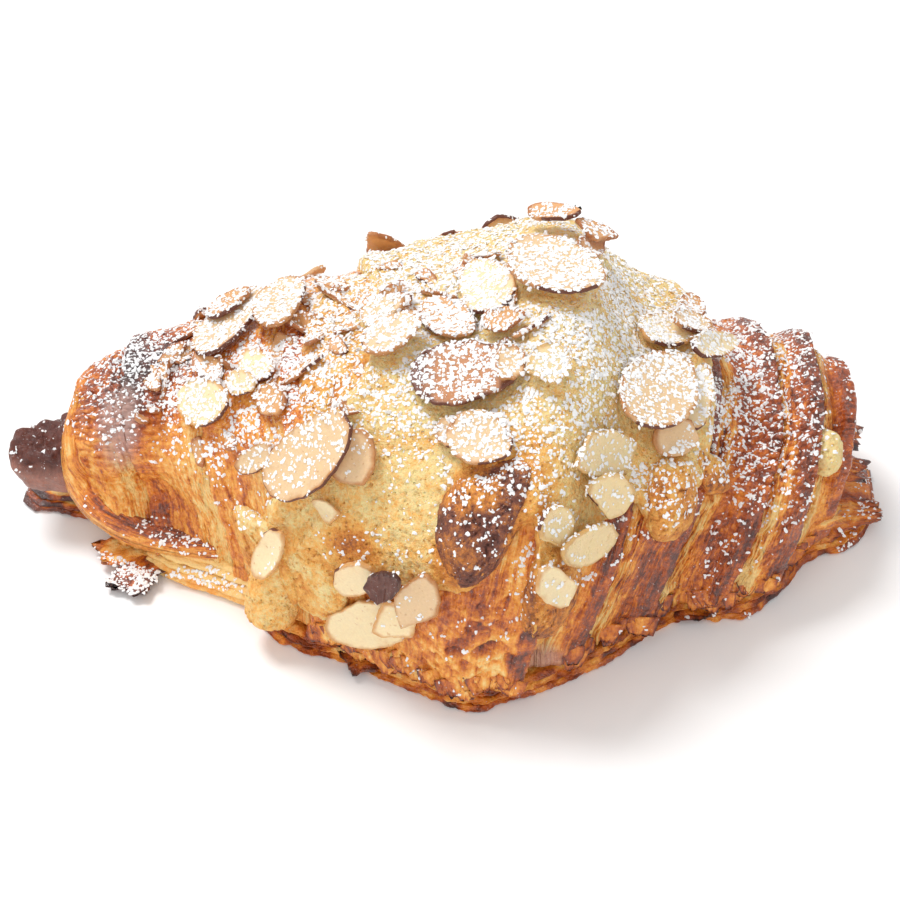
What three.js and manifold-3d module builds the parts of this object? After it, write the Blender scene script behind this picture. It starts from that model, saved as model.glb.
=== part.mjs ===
// An almond croissant: a rolled pastry that was cut open low down, filled with almond cream,
// closed again, spread with more almond cream, strewn with sliced almonds and baked a second time.
// Millimetres, +Z up, +X along the roll towards its blunt end, -Y towards the front, where the
// cream runs down furthest. The origin lies on the surface it rests on, under the middle.
import * as THREE from 'three';
import { mergeVertices } from 'three/addons/utils/BufferGeometryUtils.js';
import Module from 'manifold-3d';

const wasm = await Module();
wasm.setup();
const { Manifold, Mesh: ManifoldMesh } = wasm;

// ---------------------------------------------------------------- driving dimensions

const GAP = 0.3; // air between pieces that touch

const ROLL = {
  left: -69, // the outer wrap of the narrow end
  right: 74, // the rim of the blunt end
  underside: 4.4, // the cut that the filling went in by
  widest: 0.13, // height of the widest part, as a share of the whole
  squareness: 2.45, // exponent of the section, 2 being an ellipse
  corners: 28, // of a section, from the front edge over the top to the back edge
  pitch: 5, // largest step between sections
};

// The roll is bowed: its ends lie further back than its middle.
const BOW = { middle: -3, ends: 9, halfLength: 82 };
const spineAt = (x) => BOW.middle + (BOW.ends - BOW.middle) * (x / BOW.halfLength) ** 2;

// How far the roll reaches forward and back from its spine, and how high it stands, along X.
const frontAt = through([
  [-69, 14], [-64, 18], [-52, 19], [-42, 21.5], [-36, 25], [-30, 31], [-22, 36], [-12, 41], [4, 47.5],
  [13, 45.5], [24, 40], [36, 32.8], [46, 28.8], [57, 29.8], [65, 25], [70, 20], [74, 16],
]);
const backAt = through([
  [-69, 15], [-58, 22], [-40, 33], [-10, 43], [20, 45], [45, 35], [65, 25], [74, 17],
]);
const heightAt = through([
  [-76, 27], [-72, 32.5], [-66, 36], [-54, 40], [-40, 45.5], [-28, 50], [-10, 54], [6, 57],
  [18, 62.5], [26, 61], [31, 55], [37, 48], [46, 44], [53, 38], [60, 36], [70, 34.5],
  [76, 31.5], [80, 27],
]);

// The wraps of the rolled dough: where each edge crosses the front, and how far it stands up.
const WRAPS = [
  { edge: -58, rise: 1.3 },
  { edge: -42, rise: 1.0 },
  { edge: -26, rise: 1.0 },
  { edge: 13.5, rise: 3.0 },
  { edge: 24.5, rise: 1.9 },
  { edge: 38, rise: 2.3 },
  { edge: 53.5, rise: 2.2 },
  { edge: 64.5, rise: 2.4 },
  { edge: 76, rise: 2.2 },
];
const WRAP = {
  middle: -5, // the wraps overlap outwards from here
  swell: 6.5, // over which a wrap rises to its edge
  groove: 5.2, // over which the surface comes back beyond the edge
  depth: 0.55, // of the groove, as a share of the rise
  leanRight: 13, // how far the edges move outwards by the time they reach the top
  leanLeft: -5,
  leanEnds: 4.5, // the same at the two ends
  underCream: 0.1, // what is left of the relief where the cream was spread
};

// Hollows and swellings that break the even section, at mm along X and degrees round the roll.
const HOLLOWS = [
  { at: [19, 50], spread: [5.2, 36], depth: 4.4 }, // the fold beside the middle wrap
  { at: [-57, 19], spread: [9, 14], depth: 6 }, // behind the loose fold
  { at: [70.5, 62], spread: [2.8, 50], depth: 3.4 }, // inside the rim of the blunt end
  { at: [3, 12], spread: [11, 18], depth: -2.4 }, // the foot of the middle wrap
  { at: [-16, 52], spread: [12, 18], depth: -1.5 },
  { at: [46, 66], spread: [9, 26], depth: 1.6 },
];

const CREAM = {
  left: -41, // ends of the spread cream along X, at its lower edge
  right: 47,
  slantLeft: 30, // how much nearer the middle its ends lie at the crest
  slantRight: 10,
  centre: 6,
  crest: 84, // degrees at which its front and back meet
  columns: 50,
  shy: 0.1, // how far the end columns stay off its ends, in columns
  thick: 2.7,
  bead: 1.1, // how much thicker its rounded edge is
  rim: 0.9,
  sunk: 1.3, // the roll is pressed in this much under the cream
};
// Where the edge of the cream lies on the front and the back, in degrees round the roll.
const creamFrontAt = through([
  [-41, 46], [-36, 34], [-26, 22], [-20, 17], [-10, 18.5], [0, 20], [4, 24], [9, 35], [13, 37],
  [20, 34], [25, 40], [30, 42], [38, 46], [47, 58],
]);
const creamBackAt = through([[-41, 118], [-18, 132], [4, 140], [24, 134], [38, 128], [47, 112]]);
// The lobes that ran down beyond that edge.
const LOBES = [
  { at: -34.5, half: 5, drop: 24 },
  { at: 15, half: 4.2, drop: 34 },
  { at: 34, half: 4.6, drop: 17 },
  { at: 42, half: 2.8, drop: 8 },
];
// The furthest of them ran right down to the bottom crust and set there as a foot.
const CREAM_FOOT = {
  stops: [[-30, -25.5, 27, 3.6], [-32, -30, 19, 4.6], [-33.5, -32.5, 11, 5.4], [-34, -33.5, 6.2, 5.2]],
  steps: 7,
  around: 12,
};
const BACK_LOBES = [
  { at: -20, half: 6, drop: 18 },
  { at: 8, half: 7, drop: 20 },
  { at: 36, half: 6, drop: 16 },
];

const BASE = {
  left: -88,
  right: 88,
  thick: 3,
  frontStep: 4, // between corners of its edge
  backStep: 6,
  frill: 0.9, // how ragged the edge is
};
// How far the bottom crust reaches forward and back from the spine.
const baseFrontAt = through([
  [-88, 6], [-85, 9], [-78, 10.5], [-70, 12], [-64, 16], [-54, 20], [-41, 23.5], [-36, 31],
  [-30, 35.5], [-20, 38], [-12, 42.5], [5, 49.5], [13, 47], [28, 40.5], [37, 34], [46, 30], [56, 31.5],
  [65, 27], [72, 19], [81, 17.5], [86, 12], [88, 6],
]);
const baseBackAt = through([
  [-88, 3.5], [-80, 8], [-74, 14], [-60, 21.5], [-40, 33], [-10, 43.5], [20, 45.5], [45, 35.5],
  [65, 25], [80, 13], [88, 3.5],
]);

const FILLING = {
  inset: 9, // from the edge of the bottom crust
  tip: -76, // beyond this, under the tail, it swells and comes out
  swell: 5.6,
  tipInset: 1.6,
};

// Sliced almonds are cut about a millimetre thick from nuts some 22 mm long.
const SLICE = {
  thick: 1.0,
  bevel: 0.35,
  point: 0.16, // how much narrower one end is
  cup: 0.45, // how far the rim curls up from the middle
  finest: 14, // corners of the largest slices
  coarsest: 9,
};

// The slices are set out in a view from the front, as mm across and up on a plane through the
// aim that faces the eye, and each is dropped on whatever lies under it there.
const VIEW = { elevation: 42, distance: 420, aim: [0, -5, 22] };

// at: across and up; size: length and width as seen; turn: of the length, in degrees;
// broken: edges that snapped off, each as a direction in degrees and a share of the length.
const FRONT_SLICES = {
  almond_round_left: { at: [-47.5, 10.4], size: [10.2, 9.4], turn: 20 },
  almond_oval_left: { at: [-37.6, 16.9], size: [7.5, 6.7], turn: 0 },
  almond_disc_left: { at: [-40.2, 14.3], size: [5.9, 5.5], turn: 0 },
  almond_bent_left: { at: [-35.1, 10.4], size: [8.2, 7.5], turn: 30, broken: [[160, 0.6]] },
  almond_long_left: { at: [-42.7, 25.7], size: [18.6, 6.5], turn: 44 },
  almond_edge_left: { at: [-43, 29.4], size: [10.5, 3.2], turn: 32 },
  almond_tan_left: { at: [-33.1, 29.6], size: [12.2, 7.8], turn: 43 },
  almond_small_left: { at: [-37.5, -0.2], size: [8.4, 5.7], turn: 38, broken: [[85, 0.5]] },
  almond_under_front: { at: [-19, -0.8], size: [13, 9.8], turn: 62 },
  almond_broad_front: { at: [-26.9, 0], size: [22.4, 12.2], turn: 48 },
  almond_chip_middle: { at: [-23.3, -11], size: [8, 3.7], turn: -35, broken: [[0, 0.75]] },
  almond_pale_left: { at: [-34.7, -18.4], size: [11.8, 5.3], turn: 68, broken: [[0, 0.8]] },
  almond_foot_wide: {
    at: [-15.7, -31.6], size: [20, 11], turn: -8, broken: [[120, 0.42], [180, 0.8]],
  },
  almond_foot_upper: { at: [-18.2, -23.1], size: [9, 7.4], turn: 0, broken: [[100, 0.7]] },
  almond_foot_low: { at: [-10.4, -31.9], size: [10.6, 7.1], turn: -20, broken: [[180, 0.7]] },
  almond_foot_tall: {
    at: [-6.5, -27.5], size: [13.4, 10], turn: 80, broken: [[0, 0.8], [110, 0.62]],
  },
  almond_skin_chip: { at: [-12.5, -24.9], size: [7.5, 6.3], turn: 20, broken: [[200, 0.75]] },
  almond_toasted: { at: [3.1, 15.7], size: [22.4, 12.2], turn: 8, broken: [[0, 0.9]] },
  almond_toasted_end: { at: [11.6, 17.6], size: [8, 6.9], turn: 0, broken: [[0, 0.7]] },
  almond_amber_a: { at: [-0.2, 26.3], size: [12, 7.4], turn: -20 },
  almond_crest_a: { at: [7.8, 32.5], size: [11.8, 11], turn: 0 },
  almond_crest_b: { at: [11.4, 26.3], size: [9.6, 5.3], turn: 0 },
  almond_amber_b: { at: [-12.4, 27.8], size: [10.2, 5.8], turn: 35 },
  almond_amber_c: { at: [-11.2, 23.5], size: [13.2, 6.9], turn: 28 },
  almond_peach_b: { at: [1.4, 4.6], size: [9, 6.5], turn: 15 },
  almond_peach_a: { at: [6.3, 3.1], size: [13.6, 10.8], turn: -15 },
  almond_glassy: { at: [19, 17.6], size: [10, 9.2], turn: 0, broken: [[100, 0.75]] },
  almond_top_small: { at: [27.1, 40.3], size: [6, 4.8], turn: 0 },
  almond_top_broad: { at: [20.8, 36.5], size: [20.6, 10.8], turn: -12 },
  almond_top_edge: { at: [28.2, 43.2], size: [10, 3], turn: -25 },
  almond_top_rim: { at: [20.6, 47], size: [10.8, 3.2], turn: 0 },
  almond_behind_large: { at: [48.2, 11], size: [13, 5.6], turn: 80 },
  almond_under_large: { at: [44.5, 4], size: [11, 8], turn: 32 },
  almond_upper_right: { at: [42, 23.9], size: [10.8, 6.2], turn: -15 },
  almond_large_right: { at: [40.6, 12.5], size: [16, 15.5], turn: 60 },
  almond_curl_upper: { at: [47.1, 28.6], size: [6, 3.8], turn: -30 },
  almond_curl_lower: { at: [46.7, 25.7], size: [8.4, 4], turn: -22 },
  almond_rim_right: { at: [51, 21.4], size: [9, 5.3], turn: 0 },
  almond_lobe_chip: { at: [42.2, -7.1], size: [8.8, 5.5], turn: -35, broken: [[0, 0.75]] },
  almond_grey: { at: [29.4, 0.8], size: [14, 9.6], turn: 0, broken: [[100, 0.6]] },
  almond_amber_right: {
    at: [30.6, -7.3], size: [11, 9.2], turn: 40, broken: [[180, 0.6], [0, 0.8]],
  },
  almond_valley_a: { at: [20.2, -12.9], size: [10, 6.6], turn: 70, broken: [[0, 0.7], [180, 0.8]] },
  almond_valley_b: { at: [26.9, -16.7], size: [13.4, 6.2], turn: 32, broken: [[0, 0.85]] },
  almond_valley_c: {
    at: [20.6, -25.1], size: [11, 8.4], turn: -30, broken: [[0, 0.75], [90, 0.6], [200, 0.8]],
  },
};

// The far side carries fewer slices, laid out by a seeded draw inside this window of its view.
const BACK_SLICES = { count: 9, seed: 11, across: [-36, 30], up: [-34, -12], size: [11, 19] };

// ---------------------------------------------------------------- small mathematics

const radians = THREE.MathUtils.degToRad;
const clamp = THREE.MathUtils.clamp;
const smooth = (from, to, value) => THREE.MathUtils.smoothstep(value, from, to);
const hill = (value, width) => Math.exp(-((value / width) ** 2));
const listOf = (length, make) => Array.from({ length }, (_, i) => make(i));

// A function that passes smoothly through the given [x, y] points and never overshoots them.
function through(points) {
  const last = points.length - 1;
  const slopes = points.slice(1).map(([x, y], i) => (y - points[i][1]) / (x - points[i][0]));
  const tangents = points.map((_, i) => {
    const [before, after] = [slopes[Math.max(i - 1, 0)], slopes[Math.min(i, last - 1)]];
    return before * after <= 0 ? 0 : (2 * before * after) / (before + after);
  });
  return (x) => {
    const at = Math.min(Math.max(x, points[0][0]), points[last][0]);
    const i = Math.min(points.findLastIndex((p) => p[0] <= at), last - 1);
    const width = points[i + 1][0] - points[i][0];
    const t = (at - points[i][0]) / width;
    const bend = width * ((1 - t) * (tangents[i] - slopes[i]) - t * (tangents[i + 1] - slopes[i]));
    return points[i][1] + slopes[i] * (at - points[i][0]) + t * (1 - t) * bend;
  };
}

// Smooth unevenness between -1 and 1 from a few waves that never line up.
function uneven(a, b, seed) {
  return (
    (Math.sin(a + 1.7 * b + seed) +
      Math.sin(2.3 * a - 1.1 * b + 2.1 * seed) +
      Math.sin(-1.4 * a + 2.9 * b + 3.7 * seed)) / 3
  );
}

// Seeded random draws between two limits.
function draws(seed) {
  let state = seed;
  return (from, to) => {
    state = (state * 1664525 + 1013904223) % 4294967296;
    return from + ((to - from) * state) / 4294967296;
  };
}

// ---------------------------------------------------------------- meshes and solids

// A closed solid from rings of points, each end closed by a fan round its middle point.
function lofted(rings) {
  const around = rings[0].length;
  const points = rings.flat();
  const faces = [];
  for (let i = 0; i + 1 < rings.length; i++) {
    for (let j = 0; j < around; j++) {
      const k = (j + 1) % around;
      const [a, b] = [i * around + j, i * around + k];
      faces.push(a, b, b + around, a, b + around, a + around);
    }
  }
  for (const ring of [0, rings.length - 1]) {
    points.push(middleOf(rings[ring]));
    for (let j = 0; j < around; j++) {
      const [a, b] = [ring * around + j, ring * around + ((j + 1) % around)];
      faces.push(points.length - 1, ...(ring === 0 ? [b, a] : [a, b]));
    }
  }
  return solidOf(new THREE.BufferGeometry().setFromPoints(points).setIndex(faces));
}

function middleOf(points) {
  return points.reduce((sum, p) => sum.add(p), new THREE.Vector3()).divideScalar(points.length);
}

function solidOf(geometry) {
  const bare = geometry.clone();
  bare.deleteAttribute('normal');
  bare.deleteAttribute('uv');
  const merged = mergeVertices(bare, 1e-4);
  const order = merged.index.array;
  const build = () =>
    new Manifold(new ManifoldMesh({
      numProp: 3,
      vertProperties: merged.attributes.position.array,
      triVerts: new Uint32Array(order),
    }));
  const solid = build();
  if (solid.volume() > 0) return solid;
  for (let i = 0; i < order.length; i += 3) [order[i + 1], order[i + 2]] = [order[i + 2], order[i + 1]];
  return build();
}

function geometryOf(solid) {
  const { numProp, numVert, vertProperties, triVerts } = solid.getMesh();
  const points = listOf(numVert, (i) => new THREE.Vector3().fromArray(vertProperties, i * numProp));
  const geometry = new THREE.BufferGeometry().setFromPoints(points).setIndex([...triVerts]);
  geometry.computeVertexNormals();
  return geometry;
}

const joined = (solids) => solids.reduce((sum, solid) => sum.add(solid));

// The largest connected piece of a solid, since a cut can leave slivers beside it.
function largest(solid) {
  const pieces = solidOf(geometryOf(solid)).decompose();
  return pieces.sort((a, b) => b.volume() - a.volume())[0];
}

// A slab that fills everything under a height.
function everythingBelow(top) {
  return solidOf(new THREE.BoxGeometry(400, 400, 100).translate(0, 0, top - 50));
}

// A tube of changing radius along a smooth path: [x, y, z, radius] at each stop.
function taperedTube({ stops, steps, around, flat = 1 }) {
  const path = new THREE.CatmullRomCurve3(stops.map(([x, y, z]) => new THREE.Vector3(x, y, z)));
  const radiusAt = through(stops.map((stop, i) => [i / (stops.length - 1), stop[3]]));
  const up = new THREE.Vector3(0, 0, 1);
  return lofted(
    listOf(steps + 1, (i) => {
      const [t, along] = [i / steps, path.getTangent(i / steps)];
      const side = new THREE.Vector3().crossVectors(along, up).normalize();
      const rise = new THREE.Vector3().crossVectors(side, along);
      return listOf(around, (j) => {
        const angle = (2 * Math.PI * j) / around;
        const radius = radiusAt(t) * (1 + 0.06 * uneven(i, j, stops[0][0]));
        return path.getPoint(t)
          .addScaledVector(side, radius * Math.cos(angle))
          .addScaledVector(rise, radius * flat * Math.sin(angle));
      });
    }),
  );
}

// A torn leaf of crust: a thin blade from its root to a ragged tip.
function blade({ root, tip, wide, narrow, thick, steps = 4 }) {
  const along = new THREE.Vector3(...tip).sub(new THREE.Vector3(...root));
  const side = new THREE.Vector3(-along.y, along.x, 0).normalize();
  return lofted(
    listOf(steps + 1, (i) => {
      const t = i / steps;
      const middle = new THREE.Vector3(...root).addScaledVector(along, t);
      const half = (wide + (narrow - wide) * t) / 2 + 0.5 * uneven(2.2 * i, 1, root[0]);
      const body = (thick * (1 - 0.4 * t)) / 2;
      const corner = (a, b) =>
        middle.clone().addScaledVector(side, a + 0.4 * uneven(i, a, root[1])).setZ(middle.z + b);
      return [
        corner(-half, 0), corner(-half * 0.6, -body), corner(half * 0.6, -body),
        corner(half, 0), corner(half * 0.6, body), corner(-half * 0.6, body),
      ];
    }),
  );
}

// ---------------------------------------------------------------- the roll

// How far the edges of the wraps have moved outwards at a place on the roll.
function lean(s, degrees) {
  const right = s > WRAP.middle;
  const span = right ? ROLL.right - WRAP.middle : WRAP.middle - ROLL.left;
  const along = clamp(Math.abs(s - WRAP.middle) / span, 0, 1);
  const between = (right ? WRAP.leanRight : WRAP.leanLeft) * Math.sin(Math.PI * along ** 0.7);
  return Math.sin(radians(degrees)) * (between + (right ? 1 : -1) * WRAP.leanEnds * along ** 2);
}

// Each wrap swells towards its edge, ends in a step and leaves a groove beyond it.
function wrapRelief(s) {
  return WRAPS.reduce((sum, { edge, rise }) => {
    const past = (s - edge) * Math.sign(edge - WRAP.middle);
    if (past <= 0) return sum + rise * smooth(-WRAP.swell, -1, past);
    return sum - WRAP.depth * rise * (1 - smooth(0.6, WRAP.groove, past));
  }, 0);
}

// A point on the roll: s is mm along X at the front, degrees goes round from the front (0) over
// the top (90) to the back (180), and out moves it off the surface.
function rollPoint(s, degrees, out = 0) {
  const angle = radians(degrees);
  const [cos, sin] = [Math.cos(angle), Math.sin(angle)];
  const reach = cos > 0 ? frontAt(s) : backAt(s);
  const height = heightAt(s + lean(s, 90));
  const widest = Math.max(ROLL.underside + 3, ROLL.widest * height);
  const rise = height - widest;
  const across = -Math.sign(cos) * Math.abs(cos) ** (2 / ROLL.squareness);
  const up = sin ** (2 / ROLL.squareness);
  const hollow = HOLLOWS.reduce((sum, { at, spread, depth }) => {
    return sum + depth * hill(s - at[0], spread[0]) * hill(degrees - at[1], spread[1]);
  }, 0);
  const bare = 1 - (1 - WRAP.underCream) * creamCover(s, degrees);
  const swell = wrapRelief(s) * bare + 0.8 * uneven(s / 9, degrees / 21, 4) - hollow + out;
  const normal = new THREE.Vector2(across / reach, up / rise).normalize();
  return new THREE.Vector3(
    s + lean(s, degrees),
    spineAt(s) + across * reach + normal.x * swell,
    widest + up * rise + normal.y * swell,
  );
}

// A section of the roll, closed along the cut underside.
function rollSection(s) {
  const over = listOf(ROLL.corners, (j) => {
    const degrees = (180 * j) / (ROLL.corners - 1);
    return rollPoint(s, degrees, -CREAM.sunk * creamCover(s, degrees));
  });
  const [front, back] = [over[0], over[over.length - 1]];
  const under = (share) => new THREE.Vector3(s, back.y + (front.y - back.y) * share, ROLL.underside);
  return [...over, ...[0.012, 0.35, 0.65, 0.988].map(under)];
}

// Sections stand close together at the edges of the wraps and further apart between them.
function stations() {
  const wanted = [ROLL.left, ROLL.right];
  for (const { edge } of WRAPS) {
    const outwards = Math.sign(edge - WRAP.middle);
    wanted.push(...[-3.6, -1, 0.6, 3].map((past) => edge + outwards * past));
  }
  const kept = wanted.filter((s) => s >= ROLL.left && s <= ROLL.right).sort((a, b) => a - b);
  return kept.flatMap((s, i) => {
    const gap = (kept[i + 1] ?? s) - s;
    const steps = Math.max(1, Math.ceil(gap / ROLL.pitch));
    return listOf(steps, (k) => s + (gap * k) / steps);
  });
}

// A ring drawn in towards its middle and moved along X: it rounds off the ends.
function drawnIn(ring, share, shift) {
  const middle = middleOf(ring);
  return ring.map((p) => {
    const drawn = middle.clone().lerp(p, share);
    return new THREE.Vector3(drawn.x + shift, drawn.y, Math.max(drawn.z, ROLL.underside));
  });
}

function rollBody() {
  const rings = stations().map(rollSection);
  const [first, last] = [rings[0], rings[rings.length - 1]];
  const narrowEnd = [[0.5, -1.5], [0.86, -1.1]].map(([share, shift]) => drawnIn(first, share, shift));
  const bluntEnd = [[0.92, 1.6], [0.74, 1.2], [0.6, -2.4], [0.42, -1], [0.3, 1.4]];
  return lofted([
    ...narrowEnd, ...rings, ...bluntEnd.map(([share, shift]) => drawnIn(last, share, shift)),
  ]);
}

// The tail of the roll at its narrow end, which sticks out from under the outer wrap.
const TAIL = {
  stops: [[-86, 2, 14, 3.5], [-84.5, 2, 14.5, 6], [-78, 2.5, 15, 7.4], [-66, 4, 17, 10]],
  steps: 8,
  around: 16,
  cut: 10.4, // the filling is thicker under the tail than under the rest
};

// A loose fold that comes round the narrow end, down the front and in under the roll.
const LOOSE_FOLD = {
  stops: [
    [-71.5, 3, 31, 2.2], [-74, -1, 22, 3], [-73, -3.5, 14, 3.4], [-68.5, -8, 10, 3.5],
    [-61, -12.5, 8.8, 3.4], [-53, -15.5, 8.6, 2.9], [-45, -18, 9.5, 2.2],
  ],
  steps: 16,
  around: 10,
};

// Leaves of crust that have sprung loose at the blunt end.
const ROLL_BLADES = [
  { root: [70, 8, 19.5], tip: [82, 4, 18], wide: 11, narrow: 7, thick: 5 },
  { root: [70, 6, 12.5], tip: [83.5, 1.5, 11.2], wide: 12, narrow: 7, thick: 3 },
  { root: [64, -10, 8.6], tip: [77.5, -8.5, 9.2], wide: 10, narrow: 5, thick: 5 },
  { root: [65.5, -13, 11], tip: [71.5, -11, 20.5], wide: 5, narrow: 1.5, thick: 3 },
];

function pastryRoll() {
  const tail = taperedTube(TAIL).subtract(everythingBelow(TAIL.cut));
  const loose = joined([taperedTube(LOOSE_FOLD), ...ROLL_BLADES.map(blade)]);
  return largest(joined([tail, loose.subtract(everythingBelow(ROLL.underside)), rollBody()]));
}

// ---------------------------------------------------------------- base and filling

// The outline of the bottom crust, seen from above, drawn in by an inset.
function baseOutline(inset, frill = 0) {
  const length = BASE.right - BASE.left;
  const reach = (x) => 1 - inset / Math.max(baseFrontAt(x), inset + 1);
  const side = (step, reachAt, sign) => {
    const count = Math.round(length / step);
    return listOf(count, (j) => {
      const x = sign < 0 ? BASE.left + j * step : BASE.right - j * step;
      const ragged = frill * (uneven(j * 1.3, j * 0.31, sign) + 0.5 * uneven(j * 2.9, 1, 5));
      return new THREE.Vector3(
        x * (1 - inset / length * 2 * Math.abs(x) / BASE.right),
        spineAt(x) + sign * (reachAt(x) * reach(x) + ragged),
        0,
      );
    });
  };
  return [...side(BASE.frontStep, baseFrontAt, -1), ...side(BASE.backStep, baseBackAt, 1)];
}

const BASE_BLADES = [
  { root: [-58, -8, 2.4], tip: [-70, -13, 2.2], wide: 9, narrow: 7.5, thick: 2.6 },
  { root: [-58.5, -11, 2.6], tip: [-64.5, -22.5, 1.4], wide: 9.5, narrow: 9.5, thick: 1.7 },
  { root: [66, -2, 2], tip: [87.5, -1.5, 3.4], wide: 18, narrow: 6, thick: 3.2 },
  { root: [50, -22, 1.8], tip: [53, -27.6, 1.2], wide: 20, narrow: 15, thick: 2 },
  { root: [-12, -36, 1.8], tip: [-20, -41, 1.4], wide: 12, narrow: 8, thick: 2.4 },
];

// The edges of the lower half's layers, which show along the front towards the narrow end.
const LOWER_LIP = {
  stops: [
    [-60, -13, 2.2, 1.6], [-54, -17, 2.2, 2.3], [-46, -20.5, 2.2, 2.4], [-38, -24.5, 2.2, 2.3],
    [-31, -28, 2, 1.8],
  ],
  steps: 9,
  around: 8,
  flat: 0.78,
};

function pastryBase(filling) {
  const level = (inset, z, frill) =>
    baseOutline(inset, frill).map((p, j) => p.setZ(z * (1 + 0.35 * uneven(j, 0.4 * j, 3) * (frill > 0))));
  const leaf = lofted([
    level(1.4, 0, 0), level(0, 0.9, BASE.frill), level(0.3, 1.9, BASE.frill), level(3, BASE.thick, 0),
  ]);
  const whole = joined([leaf, taperedTube(LOWER_LIP), ...BASE_BLADES.map(blade)]);
  return largest(clearOf(filling, whole.subtract(everythingBelow(0))));
}

// Almond cream between the base and the roll, which swells and shows under the tail.
function creamFilling(roll) {
  const low = BASE.thick + GAP;
  const high = ROLL.underside - 1.2 * GAP;
  const level = (inset, share) =>
    baseOutline(FILLING.inset).map((p) => {
      const tip = smooth(-3, 3, FILLING.tip - p.x);
      const out = (FILLING.inset - FILLING.tipInset) * tip - inset;
      const away = new THREE.Vector2(p.x - FILLING.tip, p.y - spineAt(p.x)).normalize();
      const z = low + share * (high - low + FILLING.swell * tip);
      return new THREE.Vector3(p.x + away.x * out * tip, p.y + away.y * out, z);
    });
  return largest(clearOf(roll, lofted([level(0.5, 0), level(0, 0.5), level(0.8, 1)])));
}

// A solid cut back until it is clear of another one on every side.
function clearOf(other, solid) {
  const shifts = [[0, 0, 0], [0, -GAP, 0], [0, 0, -GAP], [0, 0, GAP], [-GAP, 0, 0], [GAP, 0, 0]];
  return shifts.reduce((left, shift) => left.subtract(other.translate(shift)), solid);
}

// ---------------------------------------------------------------- spread cream

// Degrees that the lobes near s add to an edge of the cream.
const lobed = (lobes, s) => lobes.reduce((sum, { at, half, drop }) => {
  return sum + drop * Math.exp(-(Math.abs((s - at) / half) ** 3));
}, 0);

// How many degrees a column of the cream reaches from the crest, to the front or to the back.
function creamReach(column, front) {
  const { left, right, crest } = CREAM;
  const rounded = Math.sqrt(Math.max(0, 1 - ((2 * column - left - right) / (right - left)) ** 14));
  const reach = front
    ? crest - creamFrontAt(column) + lobed(LOBES, column)
    : creamBackAt(column) + lobed(BACK_LOBES, column) - crest;
  return Math.max(reach * rounded, 0.01);
}

// The columns of the cream crowd together towards the crest, by this much.
function crowding(column, degrees) {
  const { left, right, centre, slantLeft, slantRight } = CREAM;
  const share = column < centre ? slantLeft / (centre - left) : slantRight / (right - centre);
  return 1 - share * Math.sin(radians(degrees)) ** 2;
}

// How far out a place lies between the middle of the cream (0) and its edge (1).
function creamOut(column, degrees) {
  const along = Math.abs(2 * column - CREAM.left - CREAM.right) / (CREAM.right - CREAM.left);
  const across = Math.abs(degrees - CREAM.crest) / creamReach(column, degrees < CREAM.crest);
  return Math.max(along, across);
}

// 1 where the cream lies on the roll, 0 where the roll is bare.
function creamCover(s, degrees) {
  const column = CREAM.centre + (s - CREAM.centre) / crowding(s, degrees);
  return 1 - smooth(0.86, 0.98, creamOut(column, degrees));
}

// Thickness of the cream, rounded to a bead along its edge.
function creamThickness(column, degrees) {
  const out = creamOut(column, degrees);
  const body = CREAM.thick + 0.6 * uneven(column / 7, degrees / 13, 9) + CREAM.bead * hill(out - 0.9, 0.1);
  return body + (CREAM.rim - body) * smooth(0.93, 1, out);
}

// Places across a column, from its front edge (-1) over the crest (0) to its back edge (1).
const CREAM_TOP = [-1, -0.975, -0.94, -0.86, -0.72, -0.55, -0.38, -0.2, 0, 0.25, 0.5, 0.72, 0.88, 0.95, 1];
const CREAM_UNDER = [0.985, 0.8, 0.5, 0.2, -0.1, -0.3, -0.5, -0.7, -0.86, -0.985];

function creamTopping(roll, base) {
  const { left, right, centre, crest, columns, shy } = CREAM;
  const place = (column, share, height) => {
    const degrees = crest + share * creamReach(column, share < 0);
    const s = centre + (column - centre) * crowding(column, degrees);
    return rollPoint(s, degrees, height(column, degrees));
  };
  const under = () => GAP + 0.05;
  const blanket = lofted(
    listOf(columns, (i) => {
      const column = left + ((right - left) * (i + shy)) / (columns - 1 + 2 * shy);
      return [
        ...CREAM_TOP.map((share) => place(column, share, creamThickness)),
        ...CREAM_UNDER.map((share) => place(column, share, under)),
      ];
    }),
  );
  const foot = clearOf(base, clearOf(roll, taperedTube(CREAM_FOOT)));
  return largest(blanket.subtract(roll).add(foot));
}

// A blob of filling that has come out inside the rim of the blunt end.
const BEAD = { seat: [67.6, 50], size: [6.4, 7, 9.6], tilt: 40, rise: 2 };

function creamBead(roll) {
  const seat = rollPoint(...BEAD.seat, BEAD.rise);
  const blob = new THREE.SphereGeometry(0.5, 14, 9);
  blob.scale(...BEAD.size).rotateX(-radians(BEAD.tilt)).translate(seat.x, seat.y, seat.z);
  return largest(solidOf(blob).subtract(roll));
}

// ---------------------------------------------------------------- sliced almonds

// An eye that looks at the roll from the front, or from the back when turned is 180.
function eyeFrom(turned) {
  const upright = new THREE.Vector3(0, 0, 1);
  const spin = (...xyz) => new THREE.Vector3(...xyz).applyAxisAngle(upright, radians(turned));
  const angle = radians(VIEW.elevation);
  const right = spin(1, 0, 0);
  const up = spin(0, Math.sin(angle), Math.cos(angle));
  const towards = spin(0, -Math.cos(angle), Math.sin(angle));
  const aim = new THREE.Vector3(...VIEW.aim);
  const position = aim.clone().addScaledVector(towards, VIEW.distance);
  const ray = ([across, rise]) =>
    aim.clone().addScaledVector(right, across).addScaledVector(up, rise).sub(position).normalize();
  return { position, ray, towards, right, up };
}

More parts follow.
